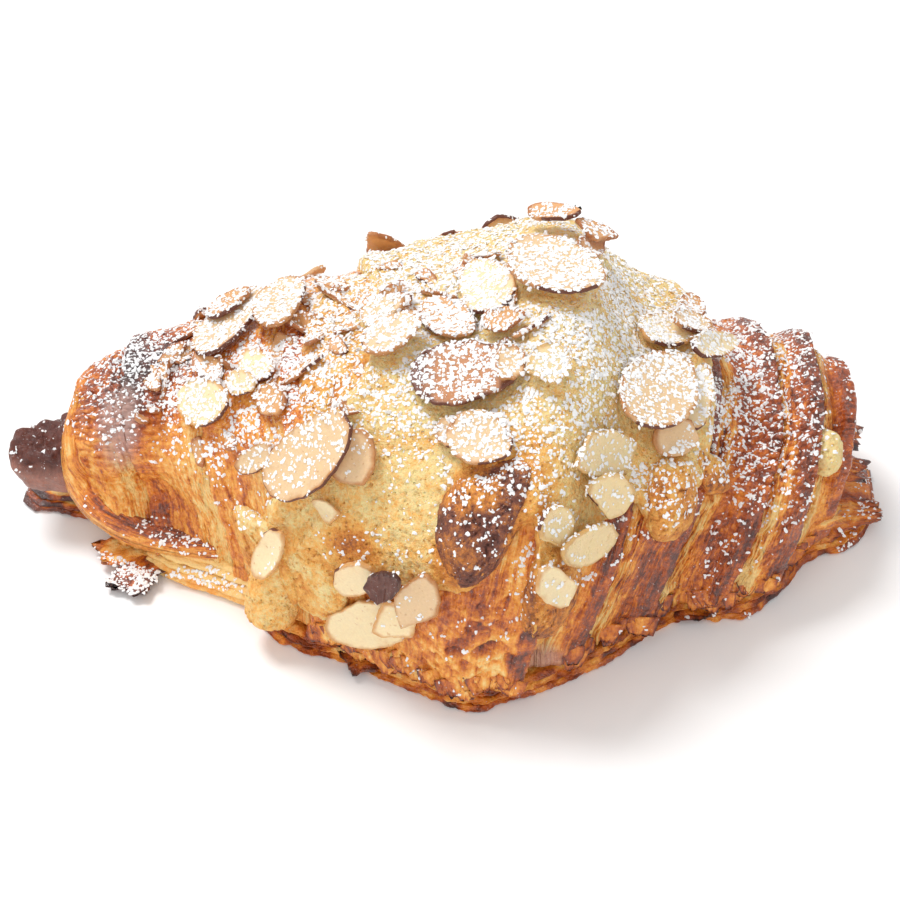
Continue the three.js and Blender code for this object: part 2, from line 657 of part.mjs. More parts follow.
// The outline of a slice as [across, up] in the view; a share below 1 draws it in.
function sliceOutline({ at, size, turn, broken = [] }, share = 1) {
  const [half, width] = [size[0] / 2, size[1] / 2];
  const corners = clamp(Math.round(size[0]), SLICE.coarsest, SLICE.finest);
  const spin = radians(turn);
  return listOf(corners, (k) => {
    const angle = (2 * Math.PI * k) / corners;
    let u = half * Math.cos(angle) * share;
    let v = width * Math.sin(angle) * (1 - SLICE.point * Math.cos(angle)) * share;
    const rough = 1 + 0.035 * uneven(2 * k, at[0], at[1]);
    for (const [direction, depth] of broken) {
      const past = (u * Math.cos(radians(direction)) + v * Math.sin(radians(direction))) / half;
      if (past > depth * share) [u, v] = [(u * depth * share) / past, (v * depth * share) / past];
    }
    return [
      at[0] + rough * (u * Math.cos(spin) - v * Math.sin(spin)),
      at[1] + rough * (u * Math.sin(spin) + v * Math.cos(spin)),
    ];
  });
}

// The plane that best fits some points, as its normal turned to the eye and its middle.
function restingPlane(points, eye) {
  const middle = middleOf(points);
  const sums = { uu: 1e-3, uv: 0, vv: 1e-3, uw: 0, vw: 0 };
  for (const p of points) {
    const from = p.clone().sub(middle);
    const [u, v, w] = [eye.right, eye.up, eye.towards].map((axis) => from.dot(axis));
    sums.uu += u * u;
    sums.uv += u * v;
    sums.vv += v * v;
    sums.uw += u * w;
    sums.vw += v * w;
  }
  const scale = sums.uu * sums.vv - sums.uv ** 2;
  const tiltU = clamp((sums.uw * sums.vv - sums.vw * sums.uv) / scale, -1.4, 1.4);
  const tiltV = clamp((sums.vw * sums.uu - sums.uw * sums.uv) / scale, -1.4, 1.4);
  const normal = eye.towards.clone().addScaledVector(eye.right, -tiltU).addScaledVector(eye.up, -tiltV);
  return { middle, normal: normal.normalize() };
}

// A slice laid on the things under it and raised until it is clear of all of them.
function laidSlice(slice, eye, below) {
  const caster = new THREE.Raycaster();
  const hits = [1, 0.6, 0.2].flatMap((share) => sliceOutline(slice, share)).flatMap((place) => {
    caster.set(eye.position, eye.ray(place));
    return caster.intersectObjects(below.meshes, false).slice(0, 1).map((hit) => hit.point);
  });
  const depth = (p) => p.clone().sub(eye.position).dot(eye.towards);
  const middle = hits.map(depth).sort((a, b) => a - b)[Math.floor(hits.length / 2)];
  const near = hits.filter((p) => depth(p) > middle - 6);
  const plane = restingPlane(near, eye);
  let rise = Math.max(...near.map((p) => p.clone().sub(plane.middle).dot(plane.normal))) + GAP;
  for (;;) {
    const solid = sliceSolid(slice, eye, plane, rise);
    const dropped = solid.translate(...plane.normal.clone().multiplyScalar(-0.7 * GAP).toArray());
    const free = (other) => [solid, dropped].every((placed) => placed.intersect(other).isEmpty());
    if (below.solids.every(free)) return solid;
    rise += 0.15;
  }
}

function sliceSolid(slice, eye, { middle, normal }, rise) {
  const foot = middle.clone().addScaledVector(normal, rise);
  const flat = (place) => {
    const ray = eye.ray(place);
    const far = foot.clone().sub(eye.position).dot(normal) / ray.dot(normal);
    return eye.position.clone().addScaledVector(ray, far);
  };
  const ring = (share, lift) => {
    const curled = lift + SLICE.cup * share ** 2;
    return sliceOutline(slice, share).map((place) => flat(place).addScaledVector(normal, curled));
  };
  const inset = 1 - (2 * SLICE.bevel) / slice.size[1];
  const rings = [ring(inset, 0), ring(1, SLICE.thick / 2), ring(inset, SLICE.thick)];
  return lofted(rings);
}

function backSlices() {
  const draw = draws(BACK_SLICES.seed);
  const { count, across, up, size } = BACK_SLICES;
  return Object.fromEntries(
    listOf(count, (i) => {
      const step = (across[1] - across[0]) / (count - 1);
      const long = draw(...size);
      return [`almond_back_${i + 1}`, {
        at: [across[0] + i * step + draw(-3, 3), draw(...up)],
        size: [long, long * draw(0.55, 0.75)],
        turn: draw(0, 180),
      }];
    }),
  );
}

// ---------------------------------------------------------------- assembly

const LOOKS = {
  crust: { color: 0xb86a26, roughness: 0.42 },
  base: { color: 0x9a4f1c, roughness: 0.5 },
  cream: { color: 0xe2b75c, roughness: 0.75 },
  filling: { color: 0xe8cf86, roughness: 0.7 },
  almond: { color: 0xe9c995, roughness: 0.55 },
  skin: { color: 0x5a2c1c, roughness: 0.6 },
};

function part(name, solid, look) {
  const material = new THREE.MeshStandardMaterial({ ...LOOKS[look], metalness: 0 });
  const mesh = new THREE.Mesh(geometryOf(solid), material);
  mesh.name = name;
  return mesh;
}

const roll = pastryRoll();
const filling = creamFilling(roll);
const base = pastryBase(filling);
const topping = creamTopping(roll, base);
const bead = creamBead(roll);

const croissant = new THREE.Group();
croissant.name = 'almond_croissant';
croissant.add(part('pastry_roll', roll, 'crust'));
croissant.add(part('pastry_base', base, 'base'));
croissant.add(part('cream_filling', filling, 'filling'));
croissant.add(part('cream_topping', topping, 'cream'));
croissant.add(part('cream_bead', bead, 'filling'));

const laid = { solids: [roll, topping], meshes: croissant.children.slice() };
for (const [slices, turned] of [[FRONT_SLICES, 0], [backSlices(), 180]]) {
  const eye = eyeFrom(turned);
  for (const [name, slice] of Object.entries(slices)) {
    const solid = laidSlice(slice, eye, laid);
    const mesh = part(name, solid, name.includes('skin') ? 'skin' : 'almond');
    laid.solids.push(solid);
    laid.meshes.push(mesh);
    croissant.add(mesh);
  }
}

export default croissant;
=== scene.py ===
"""An almond croissant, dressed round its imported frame.

The rolled pastry, its bottom crust, the almond cream, the sliced almonds, the crumbs and the
sugar are each built as fine meshes on the forms of the frame. Sizes are in millimetres and are
turned into metres where a mesh is handed to Blender.
"""

import itertools
import logging
import math
from dataclasses import dataclass, field
from enum import Enum

import bpy
import numpy as np
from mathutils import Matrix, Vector


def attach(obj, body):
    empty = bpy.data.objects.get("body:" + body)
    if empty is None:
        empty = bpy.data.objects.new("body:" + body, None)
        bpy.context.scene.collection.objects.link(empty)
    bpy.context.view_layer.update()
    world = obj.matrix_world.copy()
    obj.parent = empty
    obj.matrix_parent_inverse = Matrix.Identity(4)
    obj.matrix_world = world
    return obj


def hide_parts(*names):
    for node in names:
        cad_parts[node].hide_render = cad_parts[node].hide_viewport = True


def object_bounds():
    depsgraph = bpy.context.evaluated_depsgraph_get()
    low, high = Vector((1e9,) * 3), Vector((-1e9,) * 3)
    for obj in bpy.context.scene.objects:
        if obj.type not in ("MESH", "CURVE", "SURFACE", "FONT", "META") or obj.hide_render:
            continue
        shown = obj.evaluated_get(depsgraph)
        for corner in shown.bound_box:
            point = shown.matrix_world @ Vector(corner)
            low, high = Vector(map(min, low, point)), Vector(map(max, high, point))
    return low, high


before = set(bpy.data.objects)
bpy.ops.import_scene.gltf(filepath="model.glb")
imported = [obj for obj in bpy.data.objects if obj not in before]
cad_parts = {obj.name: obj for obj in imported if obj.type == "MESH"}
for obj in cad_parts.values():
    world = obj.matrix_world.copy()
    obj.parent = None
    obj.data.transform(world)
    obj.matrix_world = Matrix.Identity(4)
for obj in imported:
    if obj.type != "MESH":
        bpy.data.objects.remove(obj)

CAD_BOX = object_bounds()
MM = 0.001
BODY = "root"
Array = np.ndarray
Socket = bpy.types.NodeSocket
Source = Socket | float | tuple[float, ...]
Pair = tuple[float, float]
Triple = tuple[float, float, float]
Four = tuple[float, float, float, float]
Stops = tuple[tuple[float, Triple], ...]
DROP = 0.2  # metres above the floor that rays fall from
DOWN = Vector((0.0, 0.0, -1.0))
log = logging.getLogger("croissant")


# ---- small mathematics


def smooth(low: float, high: float, value: Array) -> Array:
    """Rise smoothly from 0 at low to 1 at high."""
    t = np.clip((value - low) / (high - low), 0.0, 1.0)
    return t * t * (3.0 - 2.0 * t)


def hill(value: Array, width: float) -> Array:
    """Give a bell of height 1 and the given width round 0."""
    return np.exp(-((value / width) ** 2))


def uneven(a: Array, b: Array, seed: float) -> Array:
    """Give a smooth unevenness between -1 and 1 from waves that never line up."""
    waves = np.sin(a + 1.7 * b + seed) + np.sin(2.3 * a - 1.1 * b + 2.1 * seed)
    return (waves + np.sin(-1.4 * a + 2.9 * b + 3.7 * seed)) / 3.0


class Through:
    """A curve that passes smoothly through points and never overshoots them."""

    def __init__(self, *points: Pair) -> None:
        """Keep the points and work out the slope at each of them.

        Args:
            points: (x, y) pairs in order of x.
        """
        self.x = np.array([p[0] for p in points], float)
        self.y = np.array([p[1] for p in points], float)
        self.slopes = np.diff(self.y) / np.diff(self.x)
        before = np.concatenate([self.slopes[:1], self.slopes])
        after = np.concatenate([self.slopes, self.slopes[-1:]])
        product = before * after
        both = np.where(product > 0, before + after, 1.0)
        self.tangents = np.where(product > 0, 2.0 * product / both, 0.0)

    def __call__(self, x: Array | float) -> Array:
        """Read the curve.

        Args:
            x: where to read it.

        Returns:
            Its height there, level beyond both ends.
        """
        at = np.clip(x, self.x[0], self.x[-1])
        i = np.clip(np.searchsorted(self.x, at, side="right") - 1, 0, len(self.slopes) - 1)
        width = self.x[i + 1] - self.x[i]
        t = (at - self.x[i]) / width
        left = (1.0 - t) * (self.tangents[i] - self.slopes[i])
        right = t * (self.tangents[i + 1] - self.slopes[i])
        bend = t * (1.0 - t) * width * (left - right)
        return self.y[i] + self.slopes[i] * (at - self.x[i]) + bend


@dataclass(frozen=True)
class Noise:
    """Seeded noise over points, one unit of length being one cell."""

    seed: int

    def drawn(self, cells: Array, salt: int = 0) -> Array:
        """Draw a random number for each whole-numbered cell.

        Args:
            cells: whole numbers, three to a cell.
            salt: tells several draws from one cell apart.

        Returns:
            A number from 0 to 1 for each cell.
        """
        c = cells.astype(np.int64).astype(np.uint64)
        key = np.uint64((self.seed * 7919 + salt * 104729 + 12345) & 0xFFFFFFFF)
        h = c[..., 0] * np.uint64(0x9E3779B97F4A7C15)
        h ^= c[..., 1] * np.uint64(0xC2B2AE3D27D4EB4F)
        h ^= c[..., 2] * np.uint64(0x165667B19E3779F9)
        h ^= key * np.uint64(0xD6E8FEB86659FD93)
        h ^= h >> np.uint64(29)
        h *= np.uint64(0xBF58476D1CE4E5B9)
        h ^= h >> np.uint64(32)
        return (h & np.uint64(0xFFFFFF)).astype(float) / float(0x1000000)

    def wave(self, points: Array) -> Array:
        """Give smooth noise from -1 to 1 at each point."""
        base = np.floor(points)
        f = points - base
        f = f * f * f * (f * (f * 6.0 - 15.0) + 10.0)
        total = np.zeros(points.shape[:-1])
        for corner in itertools.product((0, 1), repeat=3):
            share = np.prod(np.where(np.array(corner) == 1, f, 1.0 - f), axis=-1)
            total += share * self.drawn(base + np.array(corner))
        return 2.0 * total - 1.0

    def ridges(self, points: Array) -> Array:
        """Give sharp ridges, 1 along their crests and down to -1 between them."""
        return 1.0 - 2.0 * np.abs(self.wave(points))

    def fractal(self, points: Array, octaves: int = 3, gain: float = 0.5) -> Array:
        """Sum finer and finer waves.

        Args:
            points: where to read the noise.
            octaves: how many waves, each twice as fine as the last.
            gain: how strong each wave is beside the last.

        Returns:
            Noise from -1 to 1 at each point.
        """
        total, strength, whole = np.zeros(points.shape[:-1]), 1.0, 0.0
        for octave in range(octaves):
            total += strength * self.wave(points * 2.0**octave + 17.3 * octave)
            whole += strength
            strength *= gain
        return total / whole

    def cells(self, points: Array) -> tuple[Array, Array]:
        """Measure the way to scattered seeds, one in each cell.

        Args:
            points: where to measure.

        Returns:
            The distances to the nearest seed and to the second nearest.
        """
        base = np.floor(points)
        first = np.full(points.shape[:-1], 9.0)
        second = first.copy()
        for offset in itertools.product((-1, 0, 1), repeat=3):
            spot = base + np.array(offset)
            seeds = spot + np.stack([self.drawn(spot, salt) for salt in (1, 2, 3)], -1)
            away = np.linalg.norm(points - seeds, axis=-1)
            second = np.minimum(second, np.maximum(first, away))
            first = np.minimum(first, away)
        return first, second


@dataclass(frozen=True)
class Spot:
    """A place on the croissant where something is painted: its middle, size and strength."""

    at: Triple
    size: Triple
    amount: float
    sharp: float = 1.0

    def on(self, points: Array) -> Array:
        """Give its strength at each point."""
        away = (points - np.array(self.at)) / np.array(self.size)
        return self.amount * np.exp(-(np.sum(away**2, axis=-1) ** self.sharp))


def painted(spots: tuple[Spot, ...], points: Array) -> Array:
    """Sum what several spots paint at each point."""
    return sum(spot.on(points) for spot in spots)


def way_along(points: Array) -> Array:
    """Measure how far along a path of points each of them lies."""
    return np.concatenate([[0.0], np.cumsum(np.linalg.norm(np.diff(points, axis=0), axis=1))])


def flat_points(*coordinates: Array) -> Array:
    """Stack two or three coordinates into points with three numbers."""
    parts = [np.asarray(c, float) for c in coordinates]
    while len(parts) < 3:
        parts.append(np.zeros_like(parts[0]))
    return np.stack(np.broadcast_arrays(*parts), axis=-1)


# ---- bodies of points and faces


@dataclass
class Form:
    """A closed surface in millimetres, with painted values at its points."""

    points: Array
    faces: list[tuple[int, ...]]
    paint: dict[str, Array] = field(default_factory=dict)
    rounded: bool = True

    @staticmethod
    def lofted(rings: Array, paint: dict[str, Array] | None = None) -> "Form":
        """Close a stack of rings into a body, each end by a fan.

        Args:
            rings: points as (ring, place round it, coordinate).
            paint: values as (ring, place round it).

        Returns:
            The closed body.
        """
        count, around = rings.shape[:2]
        i, j = np.meshgrid(np.arange(count - 1), np.arange(around), indexing="ij")
        k = (j + 1) % around
        ring, following = i * around, (i + 1) * around
        quads = np.stack([ring + j, ring + k, following + k, following + j], -1).reshape(-1, 4)
        middles = rings[[0, -1]].mean(1)
        points = np.concatenate([rings.reshape(-1, 3), middles])
        j = np.arange(around)
        k, first, last = (j + 1) % around, count * around + 0 * j, count * around + 1 + 0 * j
        start = (count - 1) * around
        fans = [np.stack([first, k, j], -1), np.stack([last, start + j, start + k], -1)]
        fans = np.concatenate(fans)
        a, b, c, d = points[quads].transpose(1, 0, 2)
        volume = np.sum(np.cross(b - a, c - a) * a) + np.sum(np.cross(c - a, d - a) * a)
        if volume < 0:
            quads, fans = quads[:, ::-1], fans[:, ::-1]
        painted_on = {}
        for name, values in (paint or {}).items():
            ends = [values[0].mean(), values[-1].mean()]
            painted_on[name] = np.concatenate([values.ravel(), ends])
        faces = [tuple(face) for face in quads.tolist() + fans.tolist()]
        return Form(points, faces, painted_on)

    @staticmethod
    def joined(forms: list["Form"]) -> "Form":
        """Put several bodies into one, keeping what is painted on any of them.

        Args:
            forms: the bodies.

        Returns:
            One body with all their points and faces.
        """
        names = {name for form in forms for name in form.paint}
        faces: list[tuple[int, ...]] = []
        shift = 0
        for form in forms:
            faces.extend(tuple(v + shift for v in f) for f in form.faces)
            shift += len(form.points)
        paint = {
            name: np.concatenate([f.paint.get(name, np.zeros(len(f.points))) for f in forms])
            for name in sorted(names)
        }
        return Form(np.concatenate([f.points for f in forms]), faces, paint)

    def mesh(self, name: str) -> bpy.types.Mesh:
        """Hand the body to Blender.

        Args:
            name: of the mesh.

        Returns:
            A mesh in metres that carries the painted values.
        """
        mesh = bpy.data.meshes.new(name)
        mesh.from_pydata((self.points * MM).tolist(), [], self.faces)
        mesh.polygons.foreach_set("use_smooth", np.full(len(mesh.polygons), self.rounded))
        paint_points(mesh, self.paint)
        mesh.update()
        return mesh


def paint_points(mesh: bpy.types.Mesh, paint: dict[str, Array]) -> None:
    """Write values to the points of a mesh, where the finishes read them by name."""
    for name, values in paint.items():
        layer = mesh.attributes.new(name, "FLOAT", "POINT")
        layer.data.foreach_set("value", np.ascontiguousarray(values, np.float32))


def read_points(mesh: bpy.types.Mesh, what: str = "co") -> Array:
    """Read where the points of a mesh are, or with "normal" which way they face."""
    flat = np.empty(len(mesh.vertices) * 3, np.float32)
    mesh.vertices.foreach_get(what, flat)
    return flat.reshape(-1, 3).astype(float)


def placed(name: str, data: bpy.types.ID) -> bpy.types.Object:
    """Put a mesh, a light or a camera in the scene under a name."""
    thing = bpy.data.objects.new(name, data)
    bpy.context.scene.collection.objects.link(thing)
    return thing


def add_piece(
    name: str,
    shape: Form | bpy.types.Mesh,
    material: bpy.types.Material,
    nodes: tuple[str, ...] = (),
) -> None:
    """Put a piece of the croissant in the scene, riding on its body.

    Args:
        name: of the piece.
        shape: its form, or its mesh in metres.
        material: its finish.
        nodes: the frame's nodes that it stands for.
    """
    mesh = shape.mesh(name) if isinstance(shape, Form) else shape
    piece = placed(name, mesh)
    mesh.materials.clear()
    mesh.materials.append(material)
    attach(piece, BODY)
    if nodes:
        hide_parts(*nodes)
    log.info("%s: %d faces", name, len(mesh.polygons))


def unit(ways: Array) -> Array:
    """Give each way a length of 1."""
    return ways / np.maximum(np.linalg.norm(ways, axis=-1, keepdims=True), 1e-9)


def swollen(rings: Array, swell: Array) -> Array:
    """Move the points of a closed stack of rings outwards.

    Args:
        rings: points as (ring, place round it, coordinate).
        swell: how far each point moves in mm.

    Returns:
        The swollen rings.
    """
    along = np.gradient(rings, axis=0)
    round_ = np.roll(rings, -1, axis=1) - np.roll(rings, 1, axis=1)
    return rings + unit(np.cross(round_, along)) * swell[..., None]


# ---- finishes


class Nodes:
    """The node tree of one material, with short ways to add to it."""

    def __init__(self, name: str) -> None:
        """Start a material with a shader and an output.

        Args:
            name: of the material.
        """
        self.material = bpy.data.materials.new(name)
        self.material.use_nodes = True
        self.tree = self.material.node_tree
        self.tree.nodes.clear()
        self.shader = self.add("BsdfPrincipled")
        self.add("OutputMaterial", Surface=self.shader.outputs["BSDF"])
        self.place = self.add("TexCoord").outputs["Object"]

    def link(self, source: Source, target: Socket) -> None:
        """Feed a socket from another socket, or set it."""
        if isinstance(source, Socket):
            self.tree.links.new(source, target)
        else:
            target.default_value = source

    def feed(self, node: bpy.types.Node, **values: Source) -> bpy.types.Node:
        """Feed or set sockets of a node.

        Args:
            node: the node.
            values: what goes into each socket, its name written with _ for a space.

        Returns:
            The node.
        """
        for name, value in values.items():
            self.link(value, node.inputs[name.replace("_", " ")])
        return node

    def add(self, kind: str, **values: Source) -> bpy.types.Node:
        """Add a node, and feed or set its sockets."""
        return self.feed(self.tree.nodes.new("ShaderNode" + kind), **values)

    def set(self, **values: Source) -> None:
        """Feed or set the shader's sockets."""
        self.feed(self.shader, **values)

    def painted(self, name: str) -> Socket:
        """Read a value that is painted on the mesh."""
        node = self.add("Attribute")
        node.attribute_name = name
        return node.outputs["Fac"]

    def noise(self, size_mm: float, detail: float = 2.0, rough: float = 0.5) -> Socket:
        """Add a noise with patches of a size and its finer layers, 0.5 on average."""
        return self._noise(self.place, 1.0 / (size_mm * MM), detail, rough)

    def fibres(self, wide_mm: float, long_mm: float, detail: float = 2.0) -> Socket:
        """Add a noise that is drawn out round the roll.

        Args:
            wide_mm: width of a fibre.
            long_mm: its length.
            detail: how many finer layers it has.

        Returns:
            Its value, about 0.5 on average.
        """
        across = self.maths("DIVIDE", self.painted("run"), wide_mm)
        along = self.maths("DIVIDE", self.painted("turn"), long_mm)
        place = self.add("CombineXYZ", X=across, Y=along).outputs[0]
        return self._noise(place, 1.0, detail, 0.55)

    def _noise(self, place: Socket, scale: float, detail: float, rough: float) -> Socket:
        """Add a noise over given coordinates."""
        node = self.add("TexNoise", Vector=place, Scale=scale, Detail=detail, Roughness=rough)
        return node.outputs["Fac"]

    def pores(self, size_mm: float) -> Socket:
        """Measure the distance to scattered dots, 0 in the middle of each."""
        node = self.add("TexVoronoi", Vector=self.place, Scale=1.0 / (size_mm * MM))
        return node.outputs["Distance"]

    def maths(self, how: str, *values: Socket | float) -> Socket:
        """Add a sum.

        Args:
            how: Blender's name for the operation.
            values: what it takes, in order.

        Returns:
            The result.
        """
        node = self.add("Math")
        node.operation = how
        for value, socket in zip(values, node.inputs):
            self.link(value, socket)
        return node.outputs[0]

    def varied(self, base: Socket, noise: Socket, strength: float) -> Socket:
        """Add a noise to a value, so that its average stays."""
        return self.maths("MULTIPLY_ADD", self.maths("SUBTRACT", noise, 0.5), strength, base)

    def ranged(
        self,
        value: Socket,
        low: float,
        high: float,
        to_low: float = 0.0,
        to_high: float = 1.0,
    ) -> Socket:
        """Stretch a value from one range to another, and keep it inside.

        Args:
            value: what is stretched.
            low: start of its range.
            high: end of its range.
            to_low: what low becomes.
            to_high: what high becomes.

        Returns:
            The stretched value.
        """
        ends = {"From_Min": low, "From_Max": high, "To_Min": to_low, "To_Max": to_high}
        return self.add("MapRange", Value=value, **ends).outputs["Result"]

    def ramp(self, value: Socket, stops: Stops) -> Socket:
        """Turn a value into a colour.

        Args:
            value: from 0 to 1.
            stops: (value, colour) in order.

        Returns:
            The colour.
        """
        node = self.add("ValToRGB", Fac=value)
        elements = node.color_ramp.elements
        while len(elements) < len(stops):
            elements.new(0.5)
        for element, (at, colour) in zip(elements, stops):
            element.position = at
            element.color = (*colour, 1.0)
        return node.outputs["Color"]

    def mixed(self, a: Socket | Triple, b: Socket | Triple, share: Socket) -> Socket:
        """Mix two colours.

        Args:
            a: the colour underneath.
            b: the colour on top.
            share: how much of b.

        Returns:
            The mixed colour.
        """
        node = self.add("Mix", Factor=share)
        node.data_type = "RGBA"
        for colour, socket in ((a, node.inputs[6]), (b, node.inputs[7])):
            self.link((*colour, 1.0) if isinstance(colour, tuple) else colour, socket)
        return node.outputs[2]

    def bumped(self, height: Socket, depth_mm: float) -> None:
        """Give the shader and its coat a fine relief.

        Args:
            height: from 0 to 1.
            depth_mm: what 1 stands for.
        """
        relief = self.add("Bump", Distance=depth_mm * MM, Strength=1.0, Height=height)
        normal = relief.outputs["Normal"]
        self.set(Normal=normal, Coat_Normal=normal)

    def dusted(self, colour: Socket) -> Socket:
        """Lay a film of sugar dust where the mesh is painted with it.

        Args:
            colour: what lies under the dust.

        Returns:
            The colour with the dust on it.
        """
        speckle = self.noise(0.5, 3.0, 0.65)
        share = self.maths("MULTIPLY_ADD", self.painted("dust"), 0.22, -0.66)
        share = self.ranged(self.maths("ADD", share, speckle), 0.0, 0.1)
        return self.mixed(colour, (0.93, 0.92, 0.9), self.maths("MULTIPLY", share, 0.75))


@dataclass(frozen=True)
class CrustFinish:
    """Baked, glazed dough, from pale through golden and red-brown to nearly burnt."""

    stops: Stops = (
        (0.0, (0.98, 0.66, 0.25)),
        (0.2, (0.94, 0.41, 0.07)),
        (0.4, (0.72, 0.205, 0.02)),
        (0.58, (0.42, 0.08, 0.011)),
        (0.78, (0.14, 0.028, 0.012)),
        (1.0, (0.05, 0.014, 0.013)),
    )
    # colour of the painted sheen: a painted reflection of the white surroundings on the dark
    # glazed crust
    satin: Triple = (0.56, 0.33, 0.27)
    gloss: float = 0.28
    mottle: float = 0.62
    # strength of the painted shade in the furrows between the fibres
    fibre: float = 1.25
    coat: float = 0.9

    def material(self, name: str) -> bpy.types.Material:
        """Make the material.

        Args:
            name: of the material.

        Returns:
            A material that reads the painted toast, strand, painted sheen, dust, run and turn.
        """
        nodes = Nodes(name)
        lines = nodes.maths("ADD", nodes.fibres(0.9, 8.0, 3.0), nodes.fibres(0.4, 4.5))
        lines = nodes.maths("SUBTRACT", lines, 1.0)
        drawn = nodes.maths("MULTIPLY", lines, nodes.painted("strand"))
        toast = nodes.varied(nodes.painted("toast"), nodes.noise(4.5, 4.0, 0.6), self.mottle)
        toast = nodes.varied(toast, nodes.noise(0.8, 3.0, 0.65), self.mottle)
        # painted shade: darker in the furrows between the fibres, where the bump below sinks the
        # surface
        toast = nodes.maths("MULTIPLY_ADD", drawn, self.fibre, toast)
        # mix in the painted sheen, a painted reflection, where the mesh carries it
        colour = nodes.mixed(nodes.ramp(toast, self.stops), self.satin, nodes.painted("satin"))
        patches = nodes.noise(1.6, 3.0, 0.6)
        rough = nodes.ranged(patches, 0.3, 0.7, self.gloss - 0.06, self.gloss + 0.2)
        grain = nodes.noise(1.1, 2.0, 0.5)
        grain = nodes.maths("MULTIPLY_ADD", nodes.noise(0.35, 3.0, 0.6), 0.4, grain)
        grain = nodes.maths("MULTIPLY_ADD", drawn, -1.8, grain)
        nodes.bumped(grain, 0.5)
        nodes.set(
            Base_Color=nodes.dusted(colour),
            Roughness=nodes.maths("MULTIPLY_ADD", nodes.painted("dust"), 0.25, rough),
            Coat_Weight=nodes.ranged(toast, 0.25, 0.75, 0.3, self.coat),
            Specular_IOR_Level=0.4,
            Subsurface_Weight=0.05,
            Subsurface_Radius=(1.0, 0.35, 0.12),
            Subsurface_Scale=0.001,
            Coat_Roughness=0.17,
        )
        return nodes.material


@dataclass(frozen=True)
class CreamFinish:
    """Baked almond cream: porous, yellow, browned where it is painted so."""

    stops: Stops = (
        (0.0, (1.0, 0.77, 0.35)),
        (0.25, (1.0, 0.5, 0.115)),
        (0.5, (0.74, 0.26, 0.048)),
        (0.76, (0.25, 0.085, 0.052)),
        (1.0, (0.10, 0.034, 0.026)),
    )

    def material(self, name: str) -> bpy.types.Material:
        """Make the material.

        Args:
            name: of the material.

        Returns:
            A material that reads the painted toast, lump and dust.
        """
        nodes = Nodes(name)
        grain = nodes.noise(0.9, 4.0, 0.7)
        toast = nodes.varied(nodes.painted("toast"), nodes.noise(4.0, 4.0, 0.6), 0.35)
        toast = nodes.varied(toast, grain, 0.85)
        holes = nodes.ranged(nodes.pores(1.3), 0.08, 0.2, 1.0, 0.0)
        # painted shade: darker in the pores, which the bump sinks
        toast = nodes.maths("MULTIPLY_ADD", holes, 0.14, toast)
        toast = nodes.maths("MULTIPLY_ADD", nodes.painted("lump"), -0.15, toast)
        fine = nodes.maths("ADD", nodes.noise(0.6, 3.0, 0.65), grain)
        nodes.bumped(nodes.maths("MULTIPLY_ADD", holes, -0.7, fine), 0.65)
        nodes.set(
            Base_Color=nodes.dusted(nodes.ramp(toast, self.stops)),
            Roughness=nodes.ranged(nodes.noise(1.0), 0.3, 0.7, 0.42, 0.62),
            Subsurface_Weight=0.15,
            Subsurface_Radius=(1.0, 0.5, 0.2),
            Subsurface_Scale=0.001,
            Specular_IOR_Level=0.4,
        )
        return nodes.material


class Toasting(Enum):
    """How far a slice of almond was baked."""

    PALE = "pale"
    PEACH = "peach"
    AMBER = "amber"
    TOASTED = "toasted"
    GLASSY = "glassy"
    SKIN = "skin"


@dataclass(frozen=True)
class AlmondFinish:
    """The cut face of an almond with its browned edge and brown skin."""

    face: Triple
    edge: Triple
    skin: Triple = (0.14, 0.042, 0.022)
    gloss: float = 0.42
    clear: float = 0.25

    def material(self, name: str) -> bpy.types.Material:
        """Make the material.

        Args:
            name: of the material.

        Returns:
            A material that reads the painted rim, skin and dust.
        """
        nodes = Nodes(name)
        brown = nodes.varied(nodes.painted("rim"), nodes.noise(3.2, 4.0, 0.6), 1.3)
        colour = nodes.mixed(self.face, self.edge, nodes.ranged(brown, 0.15, 0.85))
        grain = nodes.ranged(nodes.noise(0.5, 3.0, 0.6), 0.3, 0.75, 0.0, 0.35)
        deeper = tuple(0.55 * f + 0.3 * e for f, e in zip(self.face, self.edge))
        colour = nodes.mixed(colour, deeper, grain)
        flecks = nodes.ranged(nodes.noise(1.0, 2.0, 0.5), 0.66, 0.72)
        colour = nodes.mixed(colour, self.edge, nodes.maths("MULTIPLY", flecks, 0.5))
        skin = nodes.varied(nodes.painted("skin"), nodes.noise(0.9, 3.0), 0.5)
        skin = nodes.ranged(skin, 0.42, 0.55)
        nodes.bumped(nodes.noise(0.45, 3.0, 0.6), 0.1)
        patches, dull = nodes.noise(1.4), self.gloss
        nodes.set(
            Base_Color=nodes.dusted(nodes.mixed(colour, self.skin, skin)),
            Roughness=nodes.ranged(patches, 0.3, 0.7, dull - 0.08, dull + 0.12),
            Subsurface_Weight=self.clear,
            Subsurface_Radius=(1.0, 0.62, 0.3),
            Subsurface_Scale=0.0015,
            Specular_IOR_Level=0.45,
        )
        return nodes.material


@dataclass(frozen=True)
class SugarFinish:
    """White sugar."""

    white: Triple = (0.92, 0.92, 0.92)
    shade: Triple = (0.86, 0.86, 0.87)

    def material(self, name: str) -> bpy.types.Material:
        """Make the material.

        Args:
            name: of the material.

        Returns:
            A soft white material.
        """
        nodes = Nodes(name)
        patches = nodes.ranged(nodes.noise(0.6, 2.0), 0.4, 0.8)
        colour = nodes.mixed(self.white, self.shade, patches)
        nodes.bumped(nodes.noise(0.12, 2.0), 0.05)
        nodes.set(Base_Color=colour, Roughness=1.0, Specular_IOR_Level=0.2)
        return nodes.material


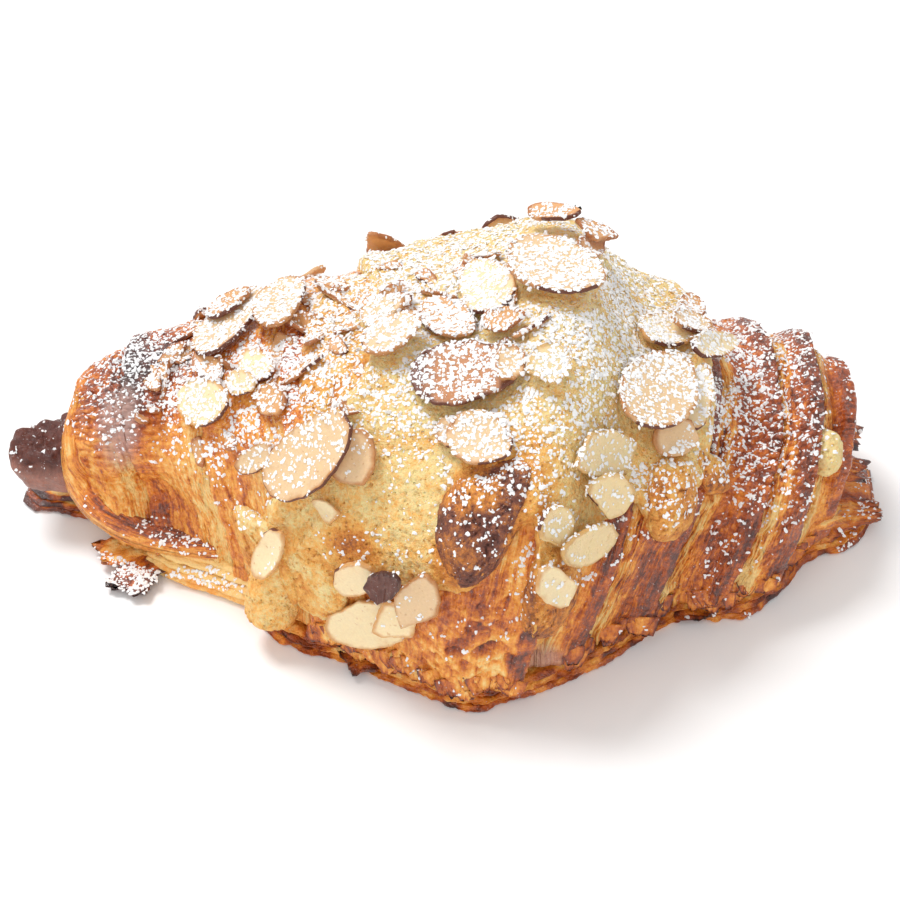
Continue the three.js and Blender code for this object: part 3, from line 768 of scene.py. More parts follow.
@dataclass(frozen=True)
class FloorFinish:
    """A plain pale floor."""

    colour: Triple = (0.96, 0.96, 0.96)
    shade: Triple = (0.93, 0.93, 0.93)

    def material(self, name: str) -> bpy.types.Material:
        """Make the material."""
        nodes = Nodes(name)
        faint = nodes.ranged(nodes.noise(400.0, 1.0), 0.3, 0.7, 0.0, 0.02)
        colour = nodes.mixed(self.colour, self.shade, faint)
        nodes.set(Base_Color=colour, Roughness=0.9, Specular_IOR_Level=0.0)
        return nodes.material


# ---- the form of the roll


@dataclass(frozen=True)
class Wrap:
    """One turn of the rolled dough: where its edge crosses the front, and how far it stands up."""

    edge: float
    rise: float


@dataclass(frozen=True)
class Hollow:
    """A hollow (or, where depth is negative, a swelling) that breaks the even section."""

    at: Pair
    spread: Pair
    depth: float

    def on(self, s: Array, degrees: Array) -> Array:
        """Give its depth at each place along the roll and round it."""
        across = hill(s - self.at[0], self.spread[0])
        return self.depth * across * hill(degrees - self.at[1], self.spread[1])


@dataclass(frozen=True)
class Lobe:
    """A tongue of cream that ran down beyond the edge."""

    at: float
    half: float
    drop: float


@dataclass
class CreamSpread:
    """Where the almond cream lies on the roll."""

    left: float = -41.0
    right: float = 47.0
    slant_left: float = 30.0
    slant_right: float = 10.0
    centre: float = 6.0
    crest: float = 84.0
    front: Through = Through(
        (-41, 46), (-36, 34), (-26, 22), (-20, 17), (-10, 18.5), (0, 20), (4, 24), (9, 35),
        (13, 37), (20, 34), (25, 40), (30, 42), (38, 46), (47, 58),
    )
    back: Through = Through((-41, 118), (-18, 132), (4, 140), (24, 134), (38, 128), (47, 112))
    lobes: tuple[Lobe, ...] = (
        Lobe(-34.5, 5, 24), Lobe(15, 4.2, 34), Lobe(34, 4.6, 17), Lobe(42, 2.8, 8),
    )
    back_lobes: tuple[Lobe, ...] = (Lobe(-20, 6, 18), Lobe(8, 7, 20), Lobe(36, 6, 16))

    def _lobed(self, lobes: tuple[Lobe, ...], s: Array) -> Array:
        """Sum what the lobes add to the edge."""
        return sum(lobe.drop * np.exp(-(np.abs((s - lobe.at) / lobe.half) ** 3)) for lobe in lobes)

    def reach(self, column: Array, is_front: Array) -> Array:
        """Measure how many degrees a column reaches from the crest.

        Args:
            column: where the column starts along the roll.
            is_front: whether the front is asked for, or the back.

        Returns:
            The reach in degrees.
        """
        across = (2.0 * column - self.left - self.right) / (self.right - self.left)
        rounded = np.sqrt(np.clip(1.0 - across**14, 0.0, None))
        ahead = self.crest - self.front(column) + self._lobed(self.lobes, column)
        behind = self.back(column) + self._lobed(self.back_lobes, column) - self.crest
        return np.maximum(np.where(is_front, ahead, behind) * rounded, 0.01)

    def cover(self, s: Array, degrees: Array) -> Array:
        """Tell where the cream lies.

        Args:
            s: place along the roll.
            degrees: place round it.

        Returns:
            1 under the cream and 0 where the roll is bare.
        """
        left_share = self.slant_left / (self.centre - self.left)
        right_share = self.slant_right / (self.right - self.centre)
        share = np.where(s < self.centre, left_share, right_share)
        column = self.centre + (s - self.centre) / (1.0 - share * np.sin(np.radians(degrees)) ** 2)
        along = np.abs(2.0 * column - self.left - self.right) / (self.right - self.left)
        across = np.abs(degrees - self.crest) / self.reach(column, degrees < self.crest)
        return 1.0 - smooth(0.86, 0.98, np.maximum(along, across))


@dataclass
class RollForm:
    """The outer form of the rolled pastry, measured in (s, degrees).

    s is mm along X at the front. Degrees go round from the front (0) over the top (90) to the
    back (180).
    """

    left: float = -69.0
    right: float = 74.0
    underside: float = 4.4
    widest: float = 0.13
    squareness: float = 2.45
    bow_middle: float = -3.0
    bow_ends: float = 9.0
    bow_half: float = 82.0
    middle: float = -5.0
    swell: float = 6.5
    groove: float = 5.2
    depth: float = 0.55
    lean_right: float = 13.0
    lean_left: float = -5.0
    lean_ends: float = 4.5
    under_cream: float = 0.1
    sunk: float = 1.3
    front: Through = Through(
        (-69, 14), (-64, 18), (-52, 19), (-42, 21.5), (-36, 25), (-30, 31), (-22, 36), (-12, 41),
        (4, 47.5), (13, 45.5), (24, 40), (36, 32.8), (46, 28.8), (57, 29.8), (65, 25), (70, 20),
        (74, 16),
    )
    back: Through = Through(
        (-69, 15), (-58, 22), (-40, 33), (-10, 43), (20, 45), (45, 35), (65, 25), (74, 17)
    )
    height: Through = Through(
        (-76, 27), (-72, 32.5), (-66, 36), (-54, 40), (-40, 45.5), (-28, 50), (-10, 54), (6, 57),
        (18, 62.5), (26, 61), (31, 55), (37, 48), (46, 44), (53, 38), (60, 36), (70, 34.5),
        (76, 31.5), (80, 27),
    )
    wraps: tuple[Wrap, ...] = (
        Wrap(-58, 1.3), Wrap(-42, 1.0), Wrap(-26, 1.0), Wrap(13.5, 3.0), Wrap(24.5, 1.9),
        Wrap(38, 2.3), Wrap(53.5, 2.2), Wrap(64.5, 2.4), Wrap(76, 2.2),
    )
    hollows: tuple[Hollow, ...] = (
        Hollow((19, 50), (5.2, 36), 4.4), Hollow((-57, 19), (9, 13), 8.0),
        Hollow((70.5, 62), (2.8, 50), 3.4), Hollow((3, 12), (11, 18), -2.4),
        Hollow((-16, 52), (12, 18), -1.5), Hollow((46, 66), (9, 26), 1.6),
    )
    cream: CreamSpread = field(default_factory=CreamSpread)

    def spine(self, x: Array) -> Array:
        """Give the line that the roll is bowed along."""
        return self.bow_middle + (self.bow_ends - self.bow_middle) * (x / self.bow_half) ** 2

    def lean(self, s: Array, degrees: Array) -> Array:
        """Measure how far the wraps' edges have moved outwards.

        Args:
            s: place along the roll.
            degrees: place round it.

        Returns:
            The shift along X in mm.
        """
        rightwards = s > self.middle
        span = np.where(rightwards, self.right - self.middle, self.middle - self.left)
        along = np.clip(np.abs(s - self.middle) / span, 0.0, 1.0)
        side = np.where(rightwards, self.lean_right, self.lean_left)
        ends = np.where(rightwards, 1.0, -1.0) * self.lean_ends * along**2
        return np.sin(np.radians(degrees)) * (side * np.sin(np.pi * along**0.7) + ends)

    def past(self, wrap: Wrap, s: Array) -> Array:
        """Measure how far outwards of a wrap's edge a place lies."""
        return (s - wrap.edge) * math.copysign(1.0, wrap.edge - self.middle)

    def wrap_relief(self, s: Array) -> Array:
        """Sum the swell, the step and the groove of every wrap.

        Args:
            s: place along the roll.

        Returns:
            How far the surface stands out in mm.
        """
        total = np.zeros_like(s)
        for wrap in self.wraps:
            past = self.past(wrap, s)
            before = wrap.rise * smooth(-self.swell, -1.0, past)
            beyond = -self.depth * wrap.rise * (1.0 - smooth(0.6, self.groove, past))
            total += np.where(past <= 0, before, beyond)
        return total

    def point(self, s: Array, degrees: Array, out: Array | float, relief: Array) -> Array:
        """Find a point on the roll.

        Args:
            s: place along the roll.
            degrees: place round it.
            out: how far off the surface.
            relief: what the wraps add there.

        Returns:
            The point in mm.
        """
        angle = np.radians(degrees)
        cos, sin = np.cos(angle), np.clip(np.sin(angle), 0.0, None)
        reach = np.where(cos > 0, self.front(s), self.back(s))
        height = self.height(s + self.lean(s, np.full_like(s, 90.0)))
        widest = np.maximum(self.underside + 3.0, self.widest * height)
        rise = height - widest
        across = -np.sign(cos) * np.abs(cos) ** (2.0 / self.squareness)
        up = sin ** (2.0 / self.squareness)
        hollow = sum(hollow.on(s, degrees) for hollow in self.hollows)
        swell = relief + 0.8 * uneven(s / 9.0, degrees / 21.0, 4.0) - hollow + out
        n_across, n_up = across / reach, up / rise
        length = np.maximum(np.hypot(n_across, n_up), 1e-9)
        y = self.spine(s) + across * reach + n_across / length * swell
        z = widest + up * rise + n_up / length * swell
        return np.stack([s + self.lean(s, degrees), y, z], axis=-1)


# ---- the rolled pastry


ROUNDED = (0.35, 0.7, 0.92)
BLUNT = (0.2, 0.5, 0.75, 0.9, 0.97)


def tapered_tube(
    stops: tuple[Four, ...], steps: int, around: int, flat: float = 1.0
) -> Array:
    """Lay rings along a smooth path.

    Args:
        stops: (x, y, z, radius) along the path.
        steps: how many rings.
        around: how many places round each.
        flat: height of the section beside its width.

    Returns:
        The rings.
    """
    at = np.array(stops, float)
    places = np.linspace(0.0, 1.0, len(stops))
    t = np.linspace(0.0, 1.0, steps)
    padded = np.vstack([2 * at[0] - at[1], at, 2 * at[-1] - at[-2]])
    i = np.clip((t * (len(stops) - 1)).astype(int), 0, len(stops) - 2)
    u = (t * (len(stops) - 1) - i)[:, None]
    a, b, c, d = padded[i], padded[i + 1], padded[i + 2], padded[i + 3]
    square, cube = (2 * a - 5 * b + 4 * c - d) * u**2, (3 * b - a - 3 * c + d) * u**3
    path = 0.5 * (2 * b + (c - a) * u + square + cube)
    radius = Through(*zip(places, at[:, 3]))(t)
    along = np.gradient(path[:, :3], axis=0)
    along /= np.linalg.norm(along, axis=1, keepdims=True)
    side = np.cross(along, (0.0, 0.0, 1.0))
    side /= np.linalg.norm(side, axis=1, keepdims=True)
    rise = np.cross(side, along)
    angle = np.linspace(0.0, 2 * np.pi, around, endpoint=False)
    wide = radius[:, None, None] * np.cos(angle)[None, :, None] * side[:, None, :]
    tall = radius[:, None, None] * flat * np.sin(angle)[None, :, None] * rise[:, None, :]
    return path[:, None, :3] + wide + tall


def with_rounded_ends(rings: Array, shares: tuple[float, ...] = ROUNDED) -> Array:
    """Draw a stack of rings in at both ends.

    Args:
        rings: points as (ring, place round it, coordinate).
        shares: sizes of the added end rings beside the last one.

    Returns:
        The stack with the end rings added.
    """
    start, end = rings[0].mean(0), rings[-1].mean(0)
    first = [start + (rings[0] - start) * share for share in shares]
    last = [end + (rings[-1] - end) * share for share in reversed(shares)]
    return np.concatenate([np.array(first), rings, np.array(last)])


@dataclass(frozen=True)
class Leaf:
    """A torn leaf of crust, from its root to a ragged tip."""

    root: Triple
    tip: Triple
    wide: float
    narrow: float
    thick: float
    toast: float = 0.5
    curl: float = 0.6
    blunt: float = 1.0

    def form(self, seed: int, step: float = 0.45) -> Form:
        """Build the leaf.

        Args:
            seed: of its ragged edges.
            step: distance between points in mm.

        Returns:
            A thin closed body.
        """
        root, tip = np.array(self.root), np.array(self.tip)
        along = tip - root
        length = float(np.linalg.norm(along))
        side = np.array([-along[1], along[0], 0.0])
        side /= np.linalg.norm(side)
        up = np.cross(along / length, side)
        up *= math.copysign(1.0, up[2])
        rows = max(int(length / step), 6)
        across = max(int(self.wide / step), 6)
        t = np.linspace(0.0, 1.0, rows)
        v = np.linspace(-1.0, 1.0, across)
        noise = Noise(seed)
        half = (self.wide + (self.narrow - self.wide) * t) / 2
        half = half * (1 - (1 - self.blunt) * smooth(0.45, 1.0, t))
        left, right = (
            half * (1 + 0.3 * noise.fractal(flat_points(t * length / 2.0, 0 * t + far), 4, 0.6))
            for far in (0, 9)
        )
        tt, vv = np.meshgrid(t, v, indexing="ij")
        width = np.where(vv < 0, left[:, None], right[:, None])
        ragged = 0.2 * noise.fractal(flat_points(vv * self.wide / 2.5, 0 * vv + 4), 4, 0.65) - 0.05
        reach = tt * (1.0 + ragged * smooth(0.5, 1.0, tt))
        middle = root + reach[..., None] * along + (vv * width)[..., None] * side
        sheet = flat_points(tt * length / 3.0, vv * self.wide / 6.0, 0 * tt)
        wavy = 0.35 * noise.fractal(sheet, 3) + self.curl * (tt**2) * vv**2
        body = self.thick * (1.0 - 0.45 * tt) * np.sqrt(np.clip(1.02 - vv**2 * 0.96, 0, None))
        grain = 0.1 * noise.fractal(flat_points(tt * length / 1.4, vv * self.wide / 0.9), 3)
        top = middle + (wavy + body * 0.5 + grain)[..., None] * up
        low = middle + (wavy - body * 0.5)[..., None] * up
        low[..., 2] = np.maximum(low[..., 2], 0.02)
        top[..., 2] = np.maximum(top[..., 2], low[..., 2] + 0.08)
        rings = np.concatenate([top, low[:, ::-1]], axis=1)
        toast = self.toast + 0.25 * smooth(0.6, 1.0, np.abs(vv)) + 0.2 * smooth(0.75, 1.0, tt)
        toast = toast + 0.3 * noise.fractal(sheet * 2.2, 3)
        shown = {"toast": toast, "strand": 0.2 + 0 * tt, "run": vv * width, "turn": tt * length}
        paint = {name: np.concatenate([v, v[:, ::-1]], axis=1) for name, v in shown.items()}
        paint["toast"][:, across:] += 0.15
        return Form.lofted(rings, paint)


@dataclass
class PastryRoll:
    """The rolled pastry: its wrapped crust, tail, loose fold and sprung leaves."""

    form: RollForm
    finish: CrustFinish = CrustFinish()
    nub_finish: CrustFinish = CrustFinish(gloss=0.42, mottle=0.3, coat=0.25)
    step: float = 0.36
    seed: int = 3
    round_mm: float = 138.0
    skirts: int = 7
    unders: int = 14
    tail: tuple[Four, ...] = (
        (-86.0, 2.0, 14.0, 3.5), (-84.5, 2.0, 14.5, 6.0), (-78.0, 2.5, 15.0, 7.4),
        (-68.0, 4.0, 17.0, 8.4),
    )
    tail_cut: float = 10.4
    loose_fold: tuple[Four, ...] = (
        (-71.5, 3.0, 31.0, 2.2), (-73.6, -1.4, 22.0, 3.2), (-73.0, -3.8, 14.0, 3.6),
        (-68.5, -8.0, 10.0, 3.5), (-61.0, -12.5, 8.8, 3.4), (-53.0, -15.5, 8.6, 2.9),
        (-45.0, -18.0, 9.5, 2.2),
    )
    blunt_share: Through = Through(
        (0, 1.0), (1.4, 0.965), (3, 0.9), (6, 0.74), (9, 0.6), (12, 0.42), (15, 0.24), (18, 0.08)
    )
    blunt_shift: Through = Through(
        (0, 0), (1.4, 1.4), (3, 1.75), (6, 1.2), (9, -2.4), (12, -1.2), (15, 0.9), (18, 1.2)
    )
    narrow_share: Through = Through((0, 1.0), (2, 0.93), (4, 0.84), (7, 0.5), (10, 0.08))
    narrow_shift: Through = Through((0, 0), (2, -0.8), (4, -1.15), (7, -1.5), (10, -1.0))
    # spots of painted sheen: painted reflections of the white surroundings on the glossy dark
    # crust, at the left, low at the front and on a rib
    painted_sheen_spots: tuple[Spot, ...] = (
        Spot((-63.5, -7, 31.5), (4.6, 7, 9.5), 0.8, 3.0),
        Spot((17, -45, 7), (4.5, 6, 4.5), 0.75, 2.0), Spot((36, -35, 17), (2.2, 8, 9), 0.05, 2.0),
    )
    # spots of darker and paler baking; the one at (-53, -14, 14) is painted shade in the recess
    # behind the loose fold
    baked: tuple[Spot, ...] = (
        Spot((-60, 3, 38), (11, 12, 9), 0.6), Spot((-63.5, -6, 33), (4, 7, 8), 0.3, 2.0),
        Spot((-71, -4, 26), (4, 8, 12), 0.04), Spot((-39, -23, 31), (1.8, 9, 13), 0.22),
        Spot((-46, -18, 7), (12, 6, 3), -0.12), Spot((-53, -14, 14), (11, 6, 5), 0.22, 2.0),
        Spot((-24, -2, 51), (6, 7, 5), 0.3), Spot((-30, -10, 47), (9, 14, 8), 0.08),
        Spot((3, -50, 26), (8, 7, 8), 0.24), Spot((-44, -19, 20), (12, 8, 9), -0.1),
        Spot((-22, 8, 54), (10, 18, 10), -0.2),
        Spot((-40, 2, 44), (14, 10, 7), 0.12), Spot((4, -52, 12), (11, 8, 6), -0.04),
        Spot((17, -45, 7), (5, 7, 5), 0.08, 2.0), Spot((36, -34, 22), (3, 9, 12), 0.25),
        Spot((50, -26, 20), (4, 9, 9), 0.12), Spot((56, -6, 34), (14, 16, 8), 0.02),
        Spot((57, -27, 9), (4.5, 6, 6), -0.25, 2.0), Spot((72, -6, 31), (5, 9, 7), 0.1),
        Spot((74, -11, 15), (6, 7, 7), -0.2), Spot((28, -40, 27), (4, 8, 8), 0.05),
    )
    sprung: tuple[Leaf, ...] = (
        Leaf((70, 8, 19.5), (82, 4, 18), 11, 7, 4.4, 0.42),
        Leaf((70, 6, 12.5), (83.5, 1.5, 11.2), 12, 7, 2.6, 0.38),
        Leaf((64, -10, 8.6), (77.5, -8.5, 9.2), 10, 5, 4.4, 0.0),
        Leaf((65.5, -13, 11), (71.5, -11, 20.5), 5, 1.5, 2.2, -0.12),
    )

    def build(self) -> None:
        """Build and dress every piece of the roll."""
        crust = self.finish.material("baked_crust")
        add_piece("roll_crust", self._crust(), crust, ("pastry_roll",))
        add_piece("tail_nub", self._tail(), self.nub_finish.material("charred_crust"))
        add_piece("loose_fold", self._fold(), crust)
        leaves = Form.joined([leaf.form(self.seed + 10 + i) for i, leaf in enumerate(self.sprung)])
        add_piece("sprung_leaves", leaves, crust)

    def _degrees(self, count: int) -> Array:
        """Space places evenly by length round the middle section.

        Args:
            count: how many places.

        Returns:
            Degrees from the front to the back.
        """
        fine = np.linspace(0.0, 180.0, 2000)
        s = np.zeros_like(fine)
        section = self.form.point(s, fine, 0.0, s)
        length = way_along(section)
        return np.interp(np.linspace(0.0, length[-1], count), length, fine)

    def _toast(self, s: Array, degrees: Array) -> Array:
        """Paint how dark the crust was baked, apart from its relief and its darker spots.

        Args:
            s: place along the roll.
            degrees: place round it.

        Returns:
            0 for pale to 1 for burnt.
        """
        front = np.where(degrees > 90, 180 - degrees, degrees)
        toast = 0.25 + 0.08 * smooth(30, 80, front) + 0.14 * smooth(12, 34, s)
        return toast + 0.07 * smooth(38, 62, front) * smooth(28, 42, s)

    def _crust(self) -> Form:
        """Build the wrapped crust.

        Returns:
            A closed body with its flakes, strands and bumps as relief.
        """
        form = self.form
        s_line = np.arange(form.left, form.right + 0.01, self.step)
        d_line = self._degrees(int(self.round_mm / self.step))
        s, degrees = np.meshgrid(s_line, d_line, indexing="ij")
        round_mm = np.broadcast_to(np.linspace(0.0, self.round_mm, len(d_line)), s.shape)
        cover = form.cream.cover(s, degrees)
        bare = 1.0 - (1.0 - form.under_cream) * cover
        slow = Noise(self.seed).fractal(flat_points(s / 13, round_mm / 11))
        quick = Noise(self.seed + 1).fractal(flat_points(s / 4, round_mm / 3.5), 2)
        warped = s + (0.8 * slow + 0.3 * quick) * bare
        relief, crest, groove, shift = form.wrap_relief(warped), 0 * s, 0 * s, 0 * s
        for wrap in form.wraps:
            past = form.past(wrap, warped)
            strength = min(wrap.rise / 2.2, 1.2)
            crest += strength * smooth(-4.5, -1.4, past) * (1 - smooth(-0.3, 0.3, past))
            groove += strength * smooth(-0.1, 0.4, past) * (1 - smooth(3.2, 6.5, past))
            curl = 0.3 * wrap.rise * math.copysign(1.0, wrap.edge)
            shift += curl * hill(past + 0.3, 0.9) * (past < 0.1)
        strands = self._strands(warped, round_mm)
        low = 1 - smooth(22, 55, np.where(degrees > 90, 180 - degrees, degrees))
        flakes, flake_edge = self._flakes(warped, round_mm)
        honey, honey_line = self._honeycomb(warped, round_mm)
        folds = Noise(self.seed + 10).fractal(flat_points(s / 5.5, round_mm / 4.2), 4, 0.62)
        folds = 1 - 2 * np.abs(folds)
        foot = hill(s - 3, 11) * hill(degrees - 6, 14)
        bumps = Noise(self.seed + 2).fractal(flat_points(s / 1.5, round_mm / 1.5), 2)
        near, _ = Noise(self.seed + 9).cells(flat_points(s / 2.0, round_mm / 1.7))
        blisters = smooth(0.25, 0.75, near)
        beaded = 0.8 * hill(s + 63, 11) * hill(degrees - 56, 40)
        beaded = np.clip(hill(s - 54, 17) * hill(degrees - 62, 34) + beaded, 0, 1)
        fine = strands * (0.12 + 0.85 * groove + 0.25 * low) * (1 - 0.5 * foot)
        fine += flakes * (0.15 + 0.35 * low + 0.15 * groove) * (1 - 0.5 * foot)
        fine += (0.8 * honey + 1.3 * folds - 0.7) * foot + bumps * (0.08 + 0.4 * beaded)
        fine -= 0.55 * blisters * (0.4 + 2.0 * beaded) * (1 - 0.6 * groove)
        total = relief * bare * (1 - 0.4 * beaded)
        points = form.point(s, degrees, -form.sunk * cover + fine * bare, total)
        points[..., 0] += shift * bare
        toast = self._toast(s, degrees) + painted(self.baked, points)
        toast += (0.3 - 0.2 * beaded) * crest - 0.2 * groove
        toast += 0.06 * smooth(16, 30, s) * (1 - groove) * low
        # at the foot the crests of the crumpled folds are painted paler and the hollows between
        # them darker: painted highlight and painted shade
        toast += 0.12 * flake_edge * (low + 0.3) + (0.47 - 0.2 * honey_line - 0.5 * folds) * foot
        # painted shade: darker in the valleys between the strands and paler on their tops, most of
        # all in the grooves
        toast += (0.05 + 0.2 * beaded) * bumps - 0.14 * strands * (0.3 + 1.7 * groove)
        toast += 0.16 * beaded * blisters
        toast -= 0.04 * (1 - smooth(-44, -26, s)) * (1 - smooth(45, 70, degrees))
        toast -= 0.55 * np.maximum(toast - 0.6, 0) * smooth(20, 34, s)
        strand = (0.25 + 0.75 * groove + 0.25 * low - 0.4 * beaded) * (1 - 0.6 * foot)
        paint = {
            "toast": toast,
            "strand": np.clip(strand, 0.05, 1.2),
            # painted sheen, a painted reflection on the glossy crust
            "satin": np.clip(painted(self.painted_sheen_spots, points), 0.0, 0.85),
            "run": warped,
            "turn": round_mm,
            "dust": Dusting.film(points),
        }
        return self._closed(points, paint)

    def _strands(self, s: Array, round_mm: Array) -> Array:
        """Give the fine fibres that run round the roll, about -1 to 1."""
        coarse = Noise(self.seed + 3).ridges(flat_points(s / 2.1, round_mm / 16))
        fine = Noise(self.seed + 4).ridges(flat_points(s / 1.2, round_mm / 7))
        return 0.6 * coarse + 0.4 * fine

    def _flakes(self, s: Array, round_mm: Array) -> tuple[Array, Array]:
        """Lay thin flakes over one another like shingles.

        Args:
            s: place along the roll.
            round_mm: place round it.

        Returns:
            Their height, and where their edges are.
        """
        field_ = Noise(self.seed + 5).fractal(flat_points(s / 7, round_mm / 22), 4, 0.6)
        steps = 1.7 * field_ + 0.3 * s
        saw = steps - np.floor(steps)
        return saw * (1 - smooth(0.93, 1.0, saw)), smooth(0.72, 0.93, saw)

    def _honeycomb(self, s: Array, round_mm: Array) -> tuple[Array, Array]:
        """Give the open bubbles of torn lamination.

        Args:
            s: place along the roll.
            round_mm: place round it.

        Returns:
            Their height, and where the thin walls are.
        """
        bend = 1.2 * Noise(self.seed + 6).fractal(flat_points(s / 4, round_mm / 4))
        place = flat_points(s / 3.2 + bend, round_mm / 2.2 - bend)
        first, second = Noise(self.seed + 7).cells(place)
        wall = hill(second - first, 0.22)
        return wall - 0.5, wall

    def _closed(self, over: Array, paint: dict[str, Array]) -> Form:
        """Close the crust below and at both ends.

        Args:
            over: points as (ring, place from front to back, coordinate).
            paint: values at those points.

        Returns:
            The closed body.
        """
        form = self.form
        t = np.linspace(0.0, 1.0, self.skirts + 1)[1:]
        front, back = over[:, :1], over[:, -1:]
        x = np.linspace(form.left, form.right, len(over))[:, None, None]
        front_low = np.concatenate([x, front[..., 1:2] + 0.8, 0 * x + form.underside], axis=-1)
        back_low = np.concatenate([x, back[..., 1:2] - 0.8, 0 * x + form.underside], axis=-1)
        wobble = 0.25 * Noise(self.seed + 8).fractal(
            flat_points(np.arange(len(over))[:, None] * 0.3, t[None, :] * 3.0)
        )
        bulge = (0.5 * np.sin(np.pi * t)[None, :] + wobble * (1 - t)[None, :])[..., None]
        down_back = back + (back_low - back) * t[None, :, None] + bulge * np.array([0, 1.0, 0])
        down_front = front + (front_low - front) * t[None, :, None] - bulge * np.array([0, 1.0, 0])
        u = np.linspace(0.0, 1.0, self.unders + 2)[1:-1][None, :, None]
        under = back_low + (front_low - back_low) * u
        rings = np.concatenate([over, down_back, under, down_front[:, ::-1]], axis=1)
        values = {}
        for name, value in paint.items():
            back_edge = np.repeat(value[:, -1:], self.skirts, axis=1)
            front_edge = np.repeat(value[:, :1], self.skirts, axis=1)
            bare = np.zeros((len(value), self.unders))
            values[name] = np.concatenate([value, back_edge, bare, front_edge], axis=1)
        return self._capped(rings, values)

    def _capped(self, rings: Array, paint: dict[str, Array]) -> Form:
        """Round off the narrow end and roll in the rim of the blunt end.

        Args:
            rings: the closed sections of the roll.
            paint: values at their points.

        Returns:
            The closed body.
        """
        blunt, narrow = np.arange(0.35, 18.01, 0.45), np.arange(0.35, 10.01, 0.45)
        last = self._drawn_in(rings[-1], self.blunt_share(blunt), self.blunt_shift(blunt), 31)
        first = self._drawn_in(rings[0], self.narrow_share(narrow), self.narrow_shift(narrow), 37)
        first = first[::-1]
        every = np.concatenate([first, rings, last])
        values = {}
        for name, value in paint.items():
            start = np.repeat(value[:1], len(first), axis=0)
            end = np.repeat(value[-1:], len(last), axis=0)
            if name == "toast":
                rim = 0.16 * (1 - smooth(1.5, 5.0, blunt)) - 0.2 * smooth(9.0, 13.0, blunt)
                end = end * 0.4 + 0.2 + rim[:, None]
            if name == "dust":
                end = end * (1 - smooth(2.0, 6.0, blunt))[:, None]
            values[name] = np.concatenate([start, value, end])
        return Form.lofted(every, values)

    def _drawn_in(self, ring: Array, shares: Array, shifts: Array, seed: int) -> Array:
        """Draw a ring in towards its middle, step by step.

        Args:
            ring: the ring at the end of the roll.
            shares: its size at each step.
            shifts: how far it moves along X by each step.
            seed: of the roughness.

        Returns:
            The rings, from the outermost inwards.
        """
        middle = ring.mean(0)
        drawn = middle + (ring - middle)[None] * shares[:, None, None]
        drawn[..., 0] += shifts[:, None]
        rough = Noise(self.seed + seed).fractal(drawn / 2.6, 3)
        drawn[..., 0] += 0.55 * rough * smooth(0.0, 0.15, 1 - shares)[:, None]
        drawn[..., 2] = np.maximum(drawn[..., 2], self.form.underside)
        return drawn

    def _tail(self) -> Form:
        """Build the charred nub at the narrow end."""
        rings = with_rounded_ends(tapered_tube(self.tail, 70, 110), BLUNT)
        noise = Noise(self.seed + 20)
        swell = 0.8 * noise.fractal(rings / 4.5, 4, 0.55)
        high = smooth(15.0, 19.0, rings[..., 2] + noise.wave(rings / 3.0))
        swell += 1.1 * high * (0.7 - 2 * np.abs(noise.wave(rings / 2.2)))
        rings = swollen(rings, swell)
        rings[..., 2] = np.maximum(rings[..., 2], self.tail_cut)
        toast = 0.76 - 0.14 * smooth(-81, -72, rings[..., 0]) * (1 - high) + 0.1 * high
        # the lower part of the nub carries painted sheen, a painted reflection on its glossy crust
        paint = {"toast": toast, "dust": 0.04 * high, "satin": 0.34 * (1 - high)}
        return Form.lofted(rings, paint)

    def _fold(self) -> Form:
        """Build the loose fold that comes round the narrow end."""
        rings = with_rounded_ends(tapered_tube(self.loose_fold, 150, 64), BLUNT)
        length = np.arange(len(rings))[:, None] * 0.35
        round_ = np.linspace(0, 2 * np.pi, rings.shape[1], endpoint=False)[None, :]
        circle = flat_points(length / 9, np.cos(round_) * 2.6, np.sin(round_) * 2.6)
        swell = 0.22 * Noise(self.seed + 21).ridges(circle)
        rings = swollen(rings, swell + 0.25 * Noise(self.seed + 22).fractal(rings / 3.0, 3))
        rings[..., 2] = np.maximum(rings[..., 2], self.form.underside)
        upper = smooth(0.2, 0.9, np.sin(round_))
        toast = 0.3 + 0.34 * upper * smooth(12, 34, length) + 0.0 * rings[..., 0]
        paint = {"toast": toast, "strand": 0.7 + 0 * toast, "run": 3.0 * round_ + 0 * toast}
        return Form.lofted(rings, paint | {"turn": length + 0 * toast})


@dataclass(frozen=True)
class Shedding:
    """A part of the crust that sheds flakes: how many, where as (s, degrees), and their size."""

    count: int
    along: Pair
    around: Pair
    long: Pair
    lift: Pair
    toast: Pair


